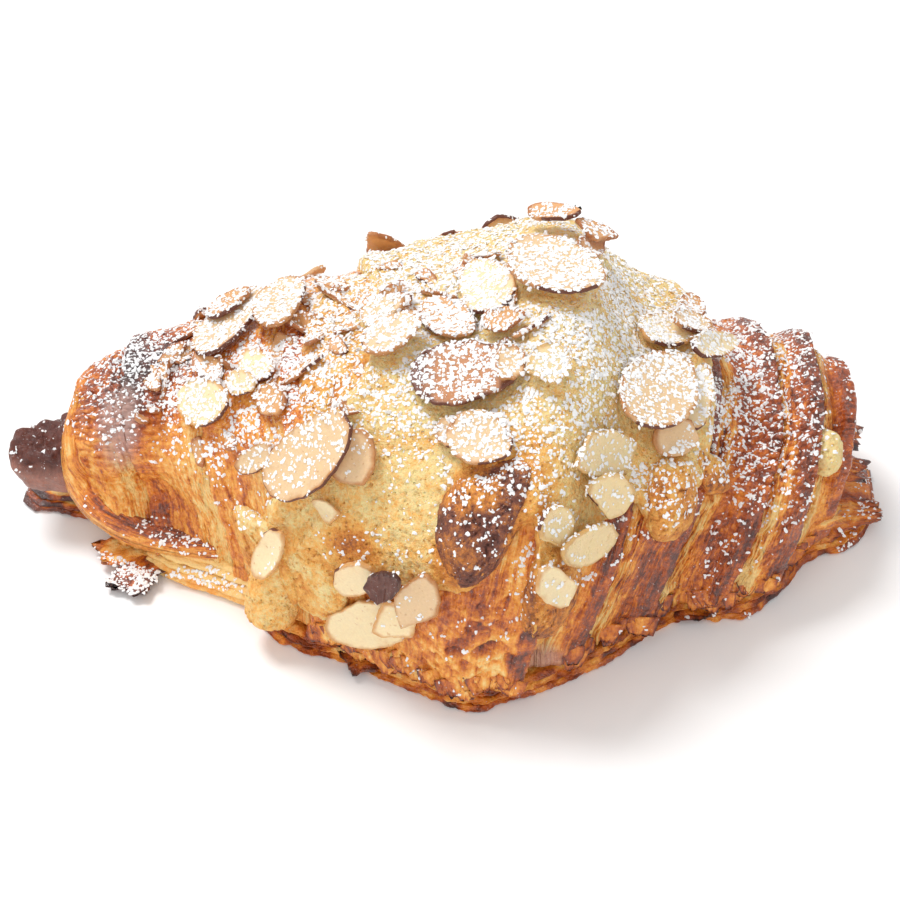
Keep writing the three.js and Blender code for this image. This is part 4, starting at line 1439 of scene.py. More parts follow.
@dataclass
class CrustFlakes:
    """Small torn flakes that hang from the crust along its foot."""

    form: RollForm
    finish: CrustFinish = CrustFinish(mottle=0.5)
    seed: int = 57
    shedding: tuple[Shedding, ...] = (
        Shedding(50, (-26, 12), (0.0, 1.5), (2.0, 4.5), (0.1, 0.6), (0.15, 0.5)),
        Shedding(50, (22, 72), (0.0, 1.5), (2.0, 4.0), (0.1, 0.5), (0.25, 0.6)),
        Shedding(60, (-60, 70), (178, 179.8), (2.0, 4.5), (0.1, 0.6), (0.2, 0.55)),
    )

    def build(self) -> None:
        """Build and dress the flakes."""
        rng = np.random.default_rng(self.seed)
        leaves = []
        for zone in self.shedding:
            for _ in range(zone.count):
                leaves.append(self._flake(rng, zone).form(int(rng.integers(1, 10**6)), 0.55))
        flaked = self.finish.material("flaked_crust")
        add_piece("crust_flakes", Form.joined(leaves), flaked)

    def _flake(self, rng: np.random.Generator, zone: Shedding) -> Leaf:
        """Hang one flake on the roll.

        Args:
            rng: the random draws.
            zone: where it hangs.

        Returns:
            The flake.
        """
        s, degrees = np.array(rng.uniform(*zone.along)), np.array(rng.uniform(*zone.around))
        relief = self.form.wrap_relief(s)
        root = self.form.point(s, degrees, -0.3, relief)
        length = rng.uniform(*zone.long)
        outwards = 1.0 if degrees > 90 else -1.0
        down = np.array([rng.normal(0.0, 0.1), 0.35 * outwards, -1.0])
        down /= np.linalg.norm(down)
        tip = root + length * down + np.array([0.0, outwards * rng.uniform(*zone.lift), 0.0])
        tip[2] = max(tip[2], 0.4)
        wide = length * rng.uniform(0.8, 1.9)
        sides = tuple(float(v) for v in root), tuple(float(v) for v in tip)
        narrow, toast = wide * rng.uniform(0.3, 0.8), rng.uniform(*zone.toast)
        return Leaf(*sides, wide, narrow, 0.6, toast, 0.3, 0.7)


# ---- the bottom crust


@dataclass
class BottomCrust:
    """The cut bottom crust: thin leaves with frilled edges, torn flakes and a lip of layers."""

    form: RollForm
    finish: CrustFinish = CrustFinish(mottle=0.38)
    left: float = -88.0
    right: float = 88.0
    seed: int = 41
    front: Through = Through(
        (-88, 6), (-85, 8), (-78, 7.5), (-70, 8.5), (-64, 14), (-54, 20), (-41, 23.5), (-36, 31),
        (-30, 35.5), (-20, 38), (-12, 42.5), (5, 49.5), (13, 47), (28, 40.5), (37, 34), (46, 30),
        (56, 31.5), (65, 27), (72, 19), (81, 17.5), (86, 12), (88, 6),
    )
    back: Through = Through(
        (-88, 3.5), (-80, 8), (-74, 14), (-60, 21.5), (-40, 33), (-10, 43.5), (20, 45.5),
        (45, 35.5), (65, 25), (80, 13), (88, 3.5),
    )
    layers: tuple[Four, ...] = (
        (0.0, 1.1, 0.0, 0.5), (0.9, 2.0, 0.6, 0.4), (1.8, 3.0, 1.4, 0.36),
    )
    torn: tuple[Leaf, ...] = (
        Leaf((-58, -8, 2.4), (-70, -13, 2.2), 9, 7.5, 2.2, 0.12),
        Leaf((-58.5, -11, 2.6), (-64.5, -22.5, 1.6), 9.5, 9.5, 1.2, 0.6),
        Leaf((66, -2, 2.2), (87.5, -1.5, 3.4), 18, 6, 1.8, 0.3),
        Leaf((50, -22, 1.8), (53, -27.6, 1.3), 20, 15, 1.4, 0.5),
        Leaf((-12, -36, 1.8), (-20, -41, 1.4), 12, 8, 1.8, 0.4),
    )
    lip: tuple[Four, ...] = (
        (-60, -13, 2.2, 1.6), (-54, -17, 2.2, 2.3), (-46, -20.5, 2.2, 2.4), (-38, -24.5, 2.2, 2.3),
        (-31, -28, 2.0, 1.8),
    )
    lip_strips: tuple[Triple, ...] = (
        (0.0, 0.5, 0.62), (1.5, 0.9, 0.5), (2.6, 0.2, 0.46), (4.2, -0.9, 0.5), (5.6, -2.2, 0.5),
    )
    edge_step: float = 0.5
    ragged: float = 1.2

    def build(self) -> None:
        """Build and dress the bottom crust."""
        crust = self.finish.material("bottom_crust")
        leaves = [self._layer(i, *layer) for i, layer in enumerate(self.layers)]
        torn = [leaf.form(self.seed + 10 + i) for i, leaf in enumerate(self.torn)]
        whole = Form.joined(leaves + torn + [self._lip()])
        add_piece("bottom_crust", whole, crust, ("pastry_base",))

    def _edge(self, inset: float, seed: int) -> Array:
        """Trace the outline of a leaf.

        Args:
            inset: how far it is drawn in.
            seed: of its unevenness.

        Returns:
            Points round the leaf at height 0.
        """
        count = int((self.right - self.left) / self.edge_step)
        noise = Noise(seed)
        sides = []
        for sign, reach_at in ((-1.0, self.front), (1.0, self.back)):
            x = np.linspace(self.left, self.right, count, endpoint=False) * -sign
            reach = reach_at(x)
            drawn = reach * (1 - inset / np.maximum(reach, inset + 1))
            torn = self.ragged * (noise.fractal(flat_points(x / 3.0, 0 * x + sign), 4, 0.7) - 0.4)
            y = self.form.spine(x) + sign * (drawn + torn)
            sides.append(np.stack([x * (1 - inset / 100.0), y, 0 * x], axis=-1))
        return np.concatenate(sides)

    def _layer(self, index: int, low: float, high: float, inset: float, toast: float) -> Form:
        """Build one leaf of the bottom crust.

        Args:
            index: tells the leaves' unevenness apart.
            low: height of its underside.
            high: height of its top.
            inset: how far its edge is drawn in.
            toast: how dark it is.

        Returns:
            A thin closed body.
        """
        seed = self.seed + 3 * index
        edge = self._edge(inset, seed)
        core = np.stack([edge[:, 0] * 0.9, self.form.spine(edge[:, 0] * 0.9), edge[:, 2]], axis=-1)
        away = np.linalg.norm(edge - core, axis=-1)
        insets = np.array([0.0, 0.25, 0.6, 1.0, 1.5, 2.1, 2.8, 3.6, 4.6, 6.0, 8.0, 11.0, 15.0])
        share = np.clip(insets[:, None] / np.maximum(away, 1.0)[None], 0.0, 0.97)
        flat = edge[None] + (core - edge)[None] * share[..., None]
        noise = Noise(seed + 1)
        wave = 0.8 * noise.fractal(flat / 2.6, 4, 0.65) * (1 - smooth(3, 9, insets))[:, None]
        thin = smooth(-0.2, 1.2, insets)[:, None]
        middle = (low + high) / 2
        tops = middle + (high - middle) * thin + np.maximum(wave, -0.3)
        lows = np.maximum(middle - (middle - low) * thin + 0.6 * np.clip(wave, -0.2, 1), 0.0)
        tops = np.maximum(tops, lows + 0.15)
        top, bottom = flat.copy(), flat.copy()
        top[..., 2], bottom[..., 2] = tops, lows
        rings = np.concatenate([bottom[::-1], top[:1] * 0.5 + bottom[:1] * 0.5, top])
        brown = toast + 0.7 * noise.fractal(flat / 3.0, 4, 0.6) + 0.1 * (1 - thin)
        end = 1 - smooth(-72, -62, flat[..., 0])
        brown = brown + end * (0.3 - 0.75 * smooth(1.0, 2.6, insets)[:, None])
        return Form.lofted(rings, {"toast": np.concatenate([brown[::-1], brown[:1], brown])})

    def _lip(self) -> Form:
        """Build the layers whose edges show at the front left."""
        strips = []
        for i, (rise, out, size) in enumerate(self.lip_strips):
            stops = tuple(
                (x, y - out * 0.8, min(z - 1.0 + rise, 6.5), r * size) for x, y, z, r in self.lip
            )
            rings = with_rounded_ends(tapered_tube(stops, 90, 26, 0.75))
            noise = Noise(self.seed + 30 + i)
            rings = swollen(rings, 0.3 * noise.fractal(rings / 1.8, 3))
            rings[..., 2] = np.maximum(rings[..., 2], 0.02)
            toast = 0.14 - 0.06 * i + 0.25 * noise.fractal(rings / 3.0, 3)
            strips.append(Form.lofted(rings, {"toast": toast}))
        return Form.joined(strips)


# ---- almond cream


@dataclass(frozen=True)
class Tongue:
    """A tongue of cream from start to end, as (s, degrees), with its size, toast and taper."""

    start: Pair
    end: Pair
    half: float
    thick: float
    toast: float
    root_toast: float = 0.12
    tilt: float = 0.0
    taper: float = 0.0


@dataclass
class AlmondCream:
    """The spread almond cream, the filling and the blob inside the blunt end."""

    form: RollForm
    finish: CreamFinish = CreamFinish()
    thinned: tuple[Spot, ...] = (
        Spot((-35, -4, 50), (5, 26, 14), 1.3), Spot((-36, -16, 42), (4, 12, 10), 0.5),
    )
    tongues: tuple[Tongue, ...] = (
        Tongue((13.6, 28), (15.6, 7), 5.0, 5.2, 0.52, 0.3),
        Tongue((29.5, 56), (34.6, 27), 5.4, 6.0, 0.4, 0.2),
        Tongue((36.5, 58), (42.3, 41), 3.8, 4.6, 0.45, 0.3),
        Tongue((2.9, 50), (0.4, 22), 6.2, 6.2, 0.74, 0.46, 0.35, 0.2),
        Tongue((-24, 36), (-25.5, 3), 8.0, 2.6, 0.14, 0.06),
        Tongue((-33.5, 26), (-33.5, 1), 6.4, 3.6, 0.3, 0.0),
        Tongue((-14.5, 112), (-17, 50), 7.0, 2.4, 0.3, 0.1),
    )
    pore_mm: float = 1.5
    seed: int = 71
    voxel: float = 0.45
    browned: tuple[Spot, ...] = (
        Spot((6, -43.5, 44), (6.5, 10, 9), 0.5, 3.0), Spot((2.5, -48, 36), (6, 6, 6), 0.45, 3.0),
        Spot((14, -42, 46), (5, 8, 10), 0.1), Spot((13, -41, 44), (5, 9, 12), 0.3),
        Spot((-18, -41, 33), (5, 3.5, 3.5), 0.5), Spot((-32, -36, 3), (9, 7, 4), 0.4),
        Spot((-31, -36, 15), (8, 7, 8), -0.12), Spot((16, -51, 28), (6, 7, 9), 0.2),
        Spot((39.5, -32, 37), (7, 8, 7), 0.16), Spot((50, -20, 31), (6, 8, 6), 0.3),
        Spot((-32, -8, 49), (11, 24, 12), 0.34), Spot((-24, 3, 51), (5, 5, 5), 0.4),
        Spot((30, -40, 28), (6, 6, 8), 0.16), Spot((-80, 2, 7), (13, 12, 6), 0.1),
    )

    def build(self) -> None:
        """Build and dress the cream."""
        cream = self.finish.material("almond_cream")
        for node, name, slot, voxel in (
            ("cream_topping", "spread_cream", "almond_cream", self.voxel),
            ("cream_filling", "filling_layer", "filling", 0.5),
            ("cream_bead", "filling_bead", "filling", 0.3),
        ):
            mesh = self._remeshed(node, name, voxel)
            self._roughened(mesh, node)
            add_piece(name, mesh, cream, (node,))
        forms = [self._tongue(tongue, self.seed + 5 + i) for i, tongue in enumerate(self.tongues)]
        add_piece("cream_tongues", Form.joined(forms), cream)

    def _pores(self, noise: Noise, points: Array) -> Array:
        """Give the open pores of the cream, 1 in their middles."""
        return 1 - smooth(0.1, 0.34, noise.cells(points / self.pore_mm)[0])

    def _tongue(self, tongue: Tongue, seed: int) -> Form:
        """Build a tongue of cream that ran down the roll.

        Args:
            tongue: where it lies and how thick it is.
            seed: of its lumps.

        Returns:
            A closed rounded body.
        """
        shares = np.sin(np.linspace(0.0, np.pi / 2, 22)[1:])[:, None]
        angle = np.linspace(0.0, 2 * np.pi, 84, endpoint=False)[None, :]
        cos, sin = np.cos(angle), np.sin(angle)
        uneven_ = shares * (1 + 0.13 * Noise(seed + 40).fractal(flat_points(1.6 * cos, 1.6 * sin)))
        along = 0.5 + 0.5 * uneven_ * np.sign(cos) * np.abs(cos) ** 0.8
        across = uneven_ * np.sign(sin) * np.abs(sin) ** 0.8
        s = tongue.start[0] + (tongue.end[0] - tongue.start[0]) * along
        s = s + tongue.half * across * (1 - tongue.taper * along)
        degrees = tongue.start[1] + (tongue.end[1] - tongue.start[1]) * along
        asides = (-4.0, -2.0, 0.0, 2.0, 4.0)
        relief = sum(self.form.wrap_relief(s + aside) for aside in asides) / len(asides)
        noise = Noise(seed)
        over = tongue.thick * (1 - shares**4) ** 0.5 * (1 - tongue.tilt * (0.5 + 0.5 * across))
        rings = self.form.point(s, degrees, over, relief)
        cracks = hill(noise.fractal(rings / 4.0 + 7, 3), 0.06)
        lumps = 0.9 * noise.fractal(rings / 3.4, 4, 0.6) - 0.5 * cracks
        swell = (lumps - 0.4 * self._pores(noise, rings)) * (1 - shares**4)
        rings = self.form.point(s, degrees, over + swell, relief)
        under = self.form.point(s, degrees, -1.5 + 0 * s, relief)[::-1]
        browned = smooth(0.02, 0.5, along + 0.25 * noise.fractal(rings / 4.0 + 3, 3))
        toast = tongue.root_toast + (tongue.toast - tongue.root_toast) * browned - 0.2 * lumps
        film = Dusting.film(rings, np.zeros_like(rings) + (0.0, 0.0, 0.7))
        shown = {"toast": toast, "lump": lumps, "dust": film}
        paint = {name: np.concatenate([value, value[::-1]]) for name, value in shown.items()}
        return Form.lofted(np.concatenate([rings, under]), paint)

    def _remeshed(self, node: str, name: str, voxel: float) -> bpy.types.Mesh:
        """Make an even, smooth copy of a node.

        Args:
            node: name of the frame's node.
            name: of the new mesh.
            voxel: size of its faces in mm.

        Returns:
            The mesh.
        """
        copy = placed(name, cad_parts[node].data.copy())
        remesh = copy.modifiers.new("even", "REMESH")
        remesh.mode = "VOXEL"
        remesh.voxel_size = voxel * MM
        soften = copy.modifiers.new("soften", "SMOOTH")
        soften.factor = 0.5
        soften.iterations = 14
        graph = bpy.context.evaluated_depsgraph_get()
        mesh = bpy.data.meshes.new_from_object(copy.evaluated_get(graph))
        bpy.data.objects.remove(copy)
        mesh.name = name
        return mesh

    def _roughened(self, mesh: bpy.types.Mesh, node: str) -> None:
        """Give a mesh the grain of baked cream and paint its toast.

        Args:
            mesh: the even mesh.
            node: the node that it stands for.
        """
        points, normals = read_points(mesh) / MM, read_points(mesh, "normal")
        noise = Noise(self.seed)
        pits = -0.5 * self._pores(noise, points)
        lumps = 0.5 * noise.fractal(points / 3.2, 4, 0.65)
        grain = 0.2 * noise.fractal(points / 1.1, 2)
        soft = 0.5 if node == "cream_filling" else 1.0
        swell = (pits + lumps + grain) * soft - painted(self.thinned, points)
        moved = points + normals * swell[:, None]
        if node == "cream_filling":
            moved[:, 2] = np.maximum(moved[:, 2], 3.1)
        mesh.vertices.foreach_set("co", (moved * MM).astype(np.float32).ravel())
        toast = {"cream_topping": 0.06, "cream_filling": 0.3, "cream_bead": 0.02}[node]
        toast = toast + painted(self.browned, points) - 0.12 * lumps
        if node == "cream_topping":
            toast = toast + 0.15 * (1 - smooth(20, 44, points[:, 2]))
        film = Dusting.film(points, normals)
        paint_points(mesh, {"toast": toast, "lump": lumps, "dust": film})
        mesh.polygons.foreach_set("use_smooth", np.ones(len(mesh.polygons), bool))
        mesh.update()


# ---- sliced almonds


@dataclass(frozen=True)
class SliceLook:
    """How one slice looks: its toasting, and the arc of its rim that still has its skin."""

    toasting: Toasting = Toasting.PEACH
    skin_at: float = -70.0
    skin_half: float = 0.0
    thick: float = 1.0
    points: int = 96


@dataclass(frozen=True)
class SlicePlane:
    """Where a slice lies, with the corners of its outline as (right, up)."""

    middle: Array
    right: Array
    up: Array
    normal: Array
    corners: Array


@dataclass
class AlmondSlices:
    """The sliced almonds, each a thin disc with a rounded rim."""

    rim_round: float = 0.3
    cup: float = 0.45
    points_a_ring: int = 6
    chips: int = 46
    chips_below: float = 66.0
    chips_along: Pair = (-62.0, 20.0)
    chips_across: Pair = (-2.0, 11.0)
    chip_thick: float = 0.7
    chip_points: int = 44
    seed: int = 101
    finishes: dict[Toasting, AlmondFinish] = field(
        default_factory=lambda: {
            Toasting.PALE: AlmondFinish((0.91, 0.74, 0.45), (0.62, 0.3, 0.09)),
            Toasting.PEACH: AlmondFinish((0.80, 0.57, 0.33), (0.48, 0.2, 0.06)),
            Toasting.AMBER: AlmondFinish((0.72, 0.38, 0.16), (0.38, 0.13, 0.04)),
            Toasting.TOASTED: AlmondFinish((0.52, 0.21, 0.07), (0.13, 0.04, 0.028)),
            Toasting.GLASSY: AlmondFinish(
                (0.84, 0.66, 0.36), (0.6, 0.36, 0.13), clear=0.45, gloss=0.3
            ),
            Toasting.SKIN: AlmondFinish((0.13, 0.036, 0.022), (0.06, 0.018, 0.013), gloss=0.4),
        }
    )
    arcs: dict[Toasting, dict[str, tuple[float, ...]]] = field(
        default_factory=lambda: {
            Toasting.PALE: {
                "round_left": (-60, 50), "oval_left": (-100, 70), "disc_left": (-100, 60),
                "chip_middle": (), "pale_left": (90, 30), "foot_wide": (), "foot_low": (),
                "foot_upper": (180, 40), "valley_c": (), "rim_right": (-90, 60),
            },
            Toasting.PEACH: {
                "long_left": (-80, 60), "tan_left": (0, 30), "small_left": (-80, 80),
                "under_front": (), "broad_front": (-65, 105), "foot_tall": (),
                "toasted_end": (), "amber_b": (), "amber_c": (190, 25), "peach_a": (-50, 45),
                "large_right": (-95, 26),
            },
            Toasting.AMBER: {
                "bent_left": (), "edge_left": (-90, 60), "amber_a": (200, 40),
                "top_rim": (-90, 60), "top_edge": (), "curl_upper": (90, 60),
            },
            Toasting.TOASTED: {"toasted": (190, 60)},
            Toasting.GLASSY: {
                "glassy": (), "grey": (), "valley_a": (150, 30), "valley_b": (-40, 25),
                "amber_right": (180, 20),
            },
            Toasting.SKIN: {"skin_chip": ()},
        }
    )
    others: tuple[Toasting, ...] = (
        Toasting.PEACH, Toasting.PALE, Toasting.AMBER, Toasting.PEACH,
    )

    def build(self) -> None:
        """Build and dress every slice."""
        materials = {
            kind: finish.material(f"almond_{kind.value}") for kind, finish in self.finishes.items()
        }
        names = sorted(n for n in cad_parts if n.startswith("almond_"))
        for index, node in enumerate(names):
            look = self._look(node.removeprefix("almond_"), index)
            slice_ = self._slice(self._plane(node), look, self.seed + index)
            piece = node.replace("almond_", "slice_")
            add_piece(piece, slice_, materials[look.toasting], (node,))
        add_piece("almond_chips", self._chips(), materials[Toasting.AMBER])

    def _look(self, name: str, index: int) -> SliceLook:
        """Choose how a slice looks.

        Args:
            name: of the slice.
            index: its place among all slices, which settles the look of one without an arc.

        Returns:
            Its look.
        """
        for toasting, arcs in self.arcs.items():
            if name in arcs:
                return SliceLook(toasting, *arcs[name])
        return SliceLook(self.others[index % len(self.others)], -80.0, 40.0 * (index % 2))

    def _plane(self, node: str) -> SlicePlane:
        """Find the plane and the outline of a node.

        Args:
            node: name of the frame's node.

        Returns:
            Where the slice lies.
        """
        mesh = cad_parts[node].data
        rounded = np.round(read_points(mesh) / MM, 3)
        points, same = np.unique(rounded, axis=0, return_inverse=True)
        middle = points.mean(0)
        _, _, axes = np.linalg.svd(points - middle)
        normal = axes[2]
        outwards = middle - np.array([middle[0], -2.0, 14.0])
        if normal @ outwards < 0:
            normal = -normal
        right = np.cross(np.cross(normal, (1.0, 0.0, 0.0)), normal)
        right /= np.linalg.norm(right)
        right *= math.copysign(1.0, right[0])
        up = np.cross(normal, right)
        rim = self._rim(mesh, points, same.ravel(), normal)
        local = (points[rim] - middle) @ np.stack([right, up], axis=1)
        x, y = local.T
        area = np.sum(x * np.roll(y, -1) - y * np.roll(x, -1))
        return SlicePlane(middle, right, up, normal, local if area > 0 else local[::-1])

    @staticmethod
    def _rim(mesh: bpy.types.Mesh, points: Array, same: Array, normal: Array) -> list[int]:
        """Walk round the widest ring of a node.

        Args:
            mesh: the node's mesh.
            points: its points, each once.
            same: which of them each vertex of the mesh is.
            normal: the way the slice faces.

        Returns:
            The points of the ring in order.
        """
        over: set[int] = set()
        under: set[int] = set()
        beside: dict[int, set[int]] = {}
        for face in mesh.polygons:
            corners = [int(same[v]) for v in face.vertices]
            a, b, c = points[corners[0]], points[corners[1]], points[corners[2]]
            (over if np.cross(b - a, c - a) @ normal > 0 else under).update(corners)
            for k, corner in enumerate(corners):
                beside.setdefault(corner, set()).update((corners[k - 1], corners[k - 2]))
        ring = over & under
        walk = [min(ring)]
        while True:
            following = [v for v in beside[walk[-1]] & ring if v not in walk]
            if not following:
                return walk
            away = {v: float(np.linalg.norm(points[v] - points[walk[-1]])) for v in following}
            walk.append(min(away, key=away.get))

    def _smoothed(self, corners: Array, count: int) -> Array:
        """Cut the corners of an outline until it is round, and space it evenly.

        Args:
            corners: of the outline.
            count: how many points are wanted.

        Returns:
            Points round the outline.
        """
        ring = corners
        for cut in (0.12, 0.16, 0.22, 0.25):
            following = np.roll(ring, -1, axis=0)
            ends = (1 - cut) * ring + cut * following, cut * ring + (1 - cut) * following
            ring = np.stack(ends, 1).reshape(-1, 2)
        closed = np.vstack([ring, ring[:1]])
        length = way_along(closed)
        at = np.linspace(0.0, length[-1], count, endpoint=False)
        return np.stack([np.interp(at, length, closed[:, k]) for k in (0, 1)], axis=-1)

    def _chips(self) -> Form:
        """Strew broken chips of almond over the top.

        Returns:
            All the chips.
        """
        rng = np.random.default_rng(self.seed)
        graph, scene = bpy.context.evaluated_depsgraph_get(), bpy.context.scene
        chips: list[Form] = []
        while len(chips) < self.chips:
            x, y = rng.uniform(*self.chips_along), rng.normal(*self.chips_across)
            above = Vector((x * MM, y * MM, DROP))
            hit, place, facing, _, struck, _ = scene.ray_cast(graph, above, DOWN)
            if not hit or place.z < 0.03 or struck.name.startswith("slice_"):
                continue
            normal = unit(np.array(facing) + rng.normal(0.0, 0.3, 3))
            right = unit(np.cross(normal, rng.normal(0.0, 1.0, 3)))
            angle = np.sort(rng.uniform(0.0, 2 * np.pi, 9))
            wide, narrow = rng.uniform(2.2, 6.0), rng.uniform(1.4, 3.2)
            corners = np.stack([wide * np.cos(angle), narrow * np.sin(angle)], axis=1)
            middle = np.array(place) / MM + 0.35 * normal
            if middle[2] > self.chips_below or normal[2] < 0.45:
                continue
            arc = rng.uniform(0, 360), rng.choice([0.0, 50.0, 70.0])
            look = SliceLook(Toasting.PEACH, *arc, self.chip_thick, self.chip_points)
            plane = SlicePlane(middle, right, np.cross(normal, right), normal, corners)
            chips.append(self._slice(plane, look, self.seed + 200 + len(chips)))
        return Form.joined(chips)

    @staticmethod
    def _broken(outline: Array, seed: int) -> Array:
        """Break two straight edges off an outline.

        Args:
            outline: points round it.
            seed: of where it breaks.

        Returns:
            The broken outline.
        """
        rng = np.random.default_rng(seed)
        for _ in range(2):
            turn = rng.uniform(0.0, 2 * np.pi)
            way = np.array([math.cos(turn), math.sin(turn)])
            reach = outline @ way
            over = np.clip(reach - reach.max() * rng.uniform(0.55, 0.84), 0.0, None)
            outline = outline - 0.9 * over[:, None] * way
        return outline

    def _slice(self, plane: SlicePlane, look: SliceLook, seed: int) -> Form:
        """Build one slice.

        Args:
            plane: where it lies.
            look: how it looks.
            seed: of its unevenness.

        Returns:
            A thin closed disc with its rim, skin and dust painted.
        """
        outline = self._smoothed(plane.corners, look.points)
        is_skin = look.toasting is Toasting.SKIN
        if not look.skin_half and not is_skin:
            outline = self._broken(outline, seed)
        noise = Noise(seed)
        angle = np.arctan2(outline[:, 1], outline[:, 0])
        edge = np.linalg.norm(outline, axis=1)
        ragged = 0.22 * noise.fractal(flat_points(*outline.T / 1.1), 3)
        circle = flat_points(1.2 * np.cos(angle), 1.2 * np.sin(angle))
        ragged += 0.07 * edge * noise.fractal(circle, 2)
        outline = outline * (1 + ragged / np.maximum(edge, 1.0))[:, None]
        half = look.thick / 2
        face = np.sqrt(np.linspace(0.0, 1.0, look.points // self.points_a_ring + 1)[1:])
        turns = np.linspace(0.0, np.pi, 7)[1:-1]
        inset = self.rim_round / np.maximum(edge, 1.0)
        over = face[:, None] * (1 - inset)
        rounding = 1 - inset * (1 - np.sin(turns))[:, None]
        shares = np.concatenate([over, rounding, over[::-1]])
        level = np.full(len(face), half)
        heights = np.concatenate([level, half * np.cos(turns), -level])[:, None]
        flat = outline[None] * shares[..., None]
        x, y = flat[..., 0], flat[..., 1]
        size = float(edge.max())
        warp = 0.3 * noise.fractal(flat_points(x / size, y / size), 2)
        fine = 0.06 * noise.fractal(flat_points(x / 1.3, y / 1.3), 3)
        lift = heights + self.cup * (shares**2 - 0.5) + warp + fine * np.sign(heights)
        if is_skin:
            lift = lift + 0.5 * noise.ridges(flat_points(x / 1.5, y / 4.0)) * (heights > 0)
        points = plane.middle + x[..., None] * plane.right + y[..., None] * plane.up
        points = points + lift[..., None] * plane.normal
        turned = np.abs((np.degrees(angle) - look.skin_at + 180.0) % 360.0 - 180.0)
        arc = 1 - smooth(look.skin_half - 8, look.skin_half + 8, turned)
        if is_skin or not look.skin_half:
            arc = 0 * turned
        rim = smooth(0.985 - 0.55 / size, 1.0 - 0.1 / size, shares)
        rim = np.clip(rim * (0.6 + 0.4 * (heights < half * 0.99)), 0, 1)
        patchy = 0.65 + 0.6 * noise.wave(flat_points(x / 3, y / 3))
        toned = 0.25 * shares**3 + 0.9 * smooth(1 - 1.6 / size, 1.0, shares) * patchy
        if look.toasting is Toasting.TOASTED:
            toned = toned + 0.9 * smooth(0.35, 0.95, -x / size)
        normals = np.broadcast_to(plane.normal, points.shape)
        dust = 0.6 * Dusting.film(points, normals) * (heights > -half * 0.5)
        shown = {"rim": toned, "skin": arc * rim, "dust": dust}
        return Form.lofted(points[::-1], {name: value[::-1] for name, value in shown.items()})


# ---- sugar


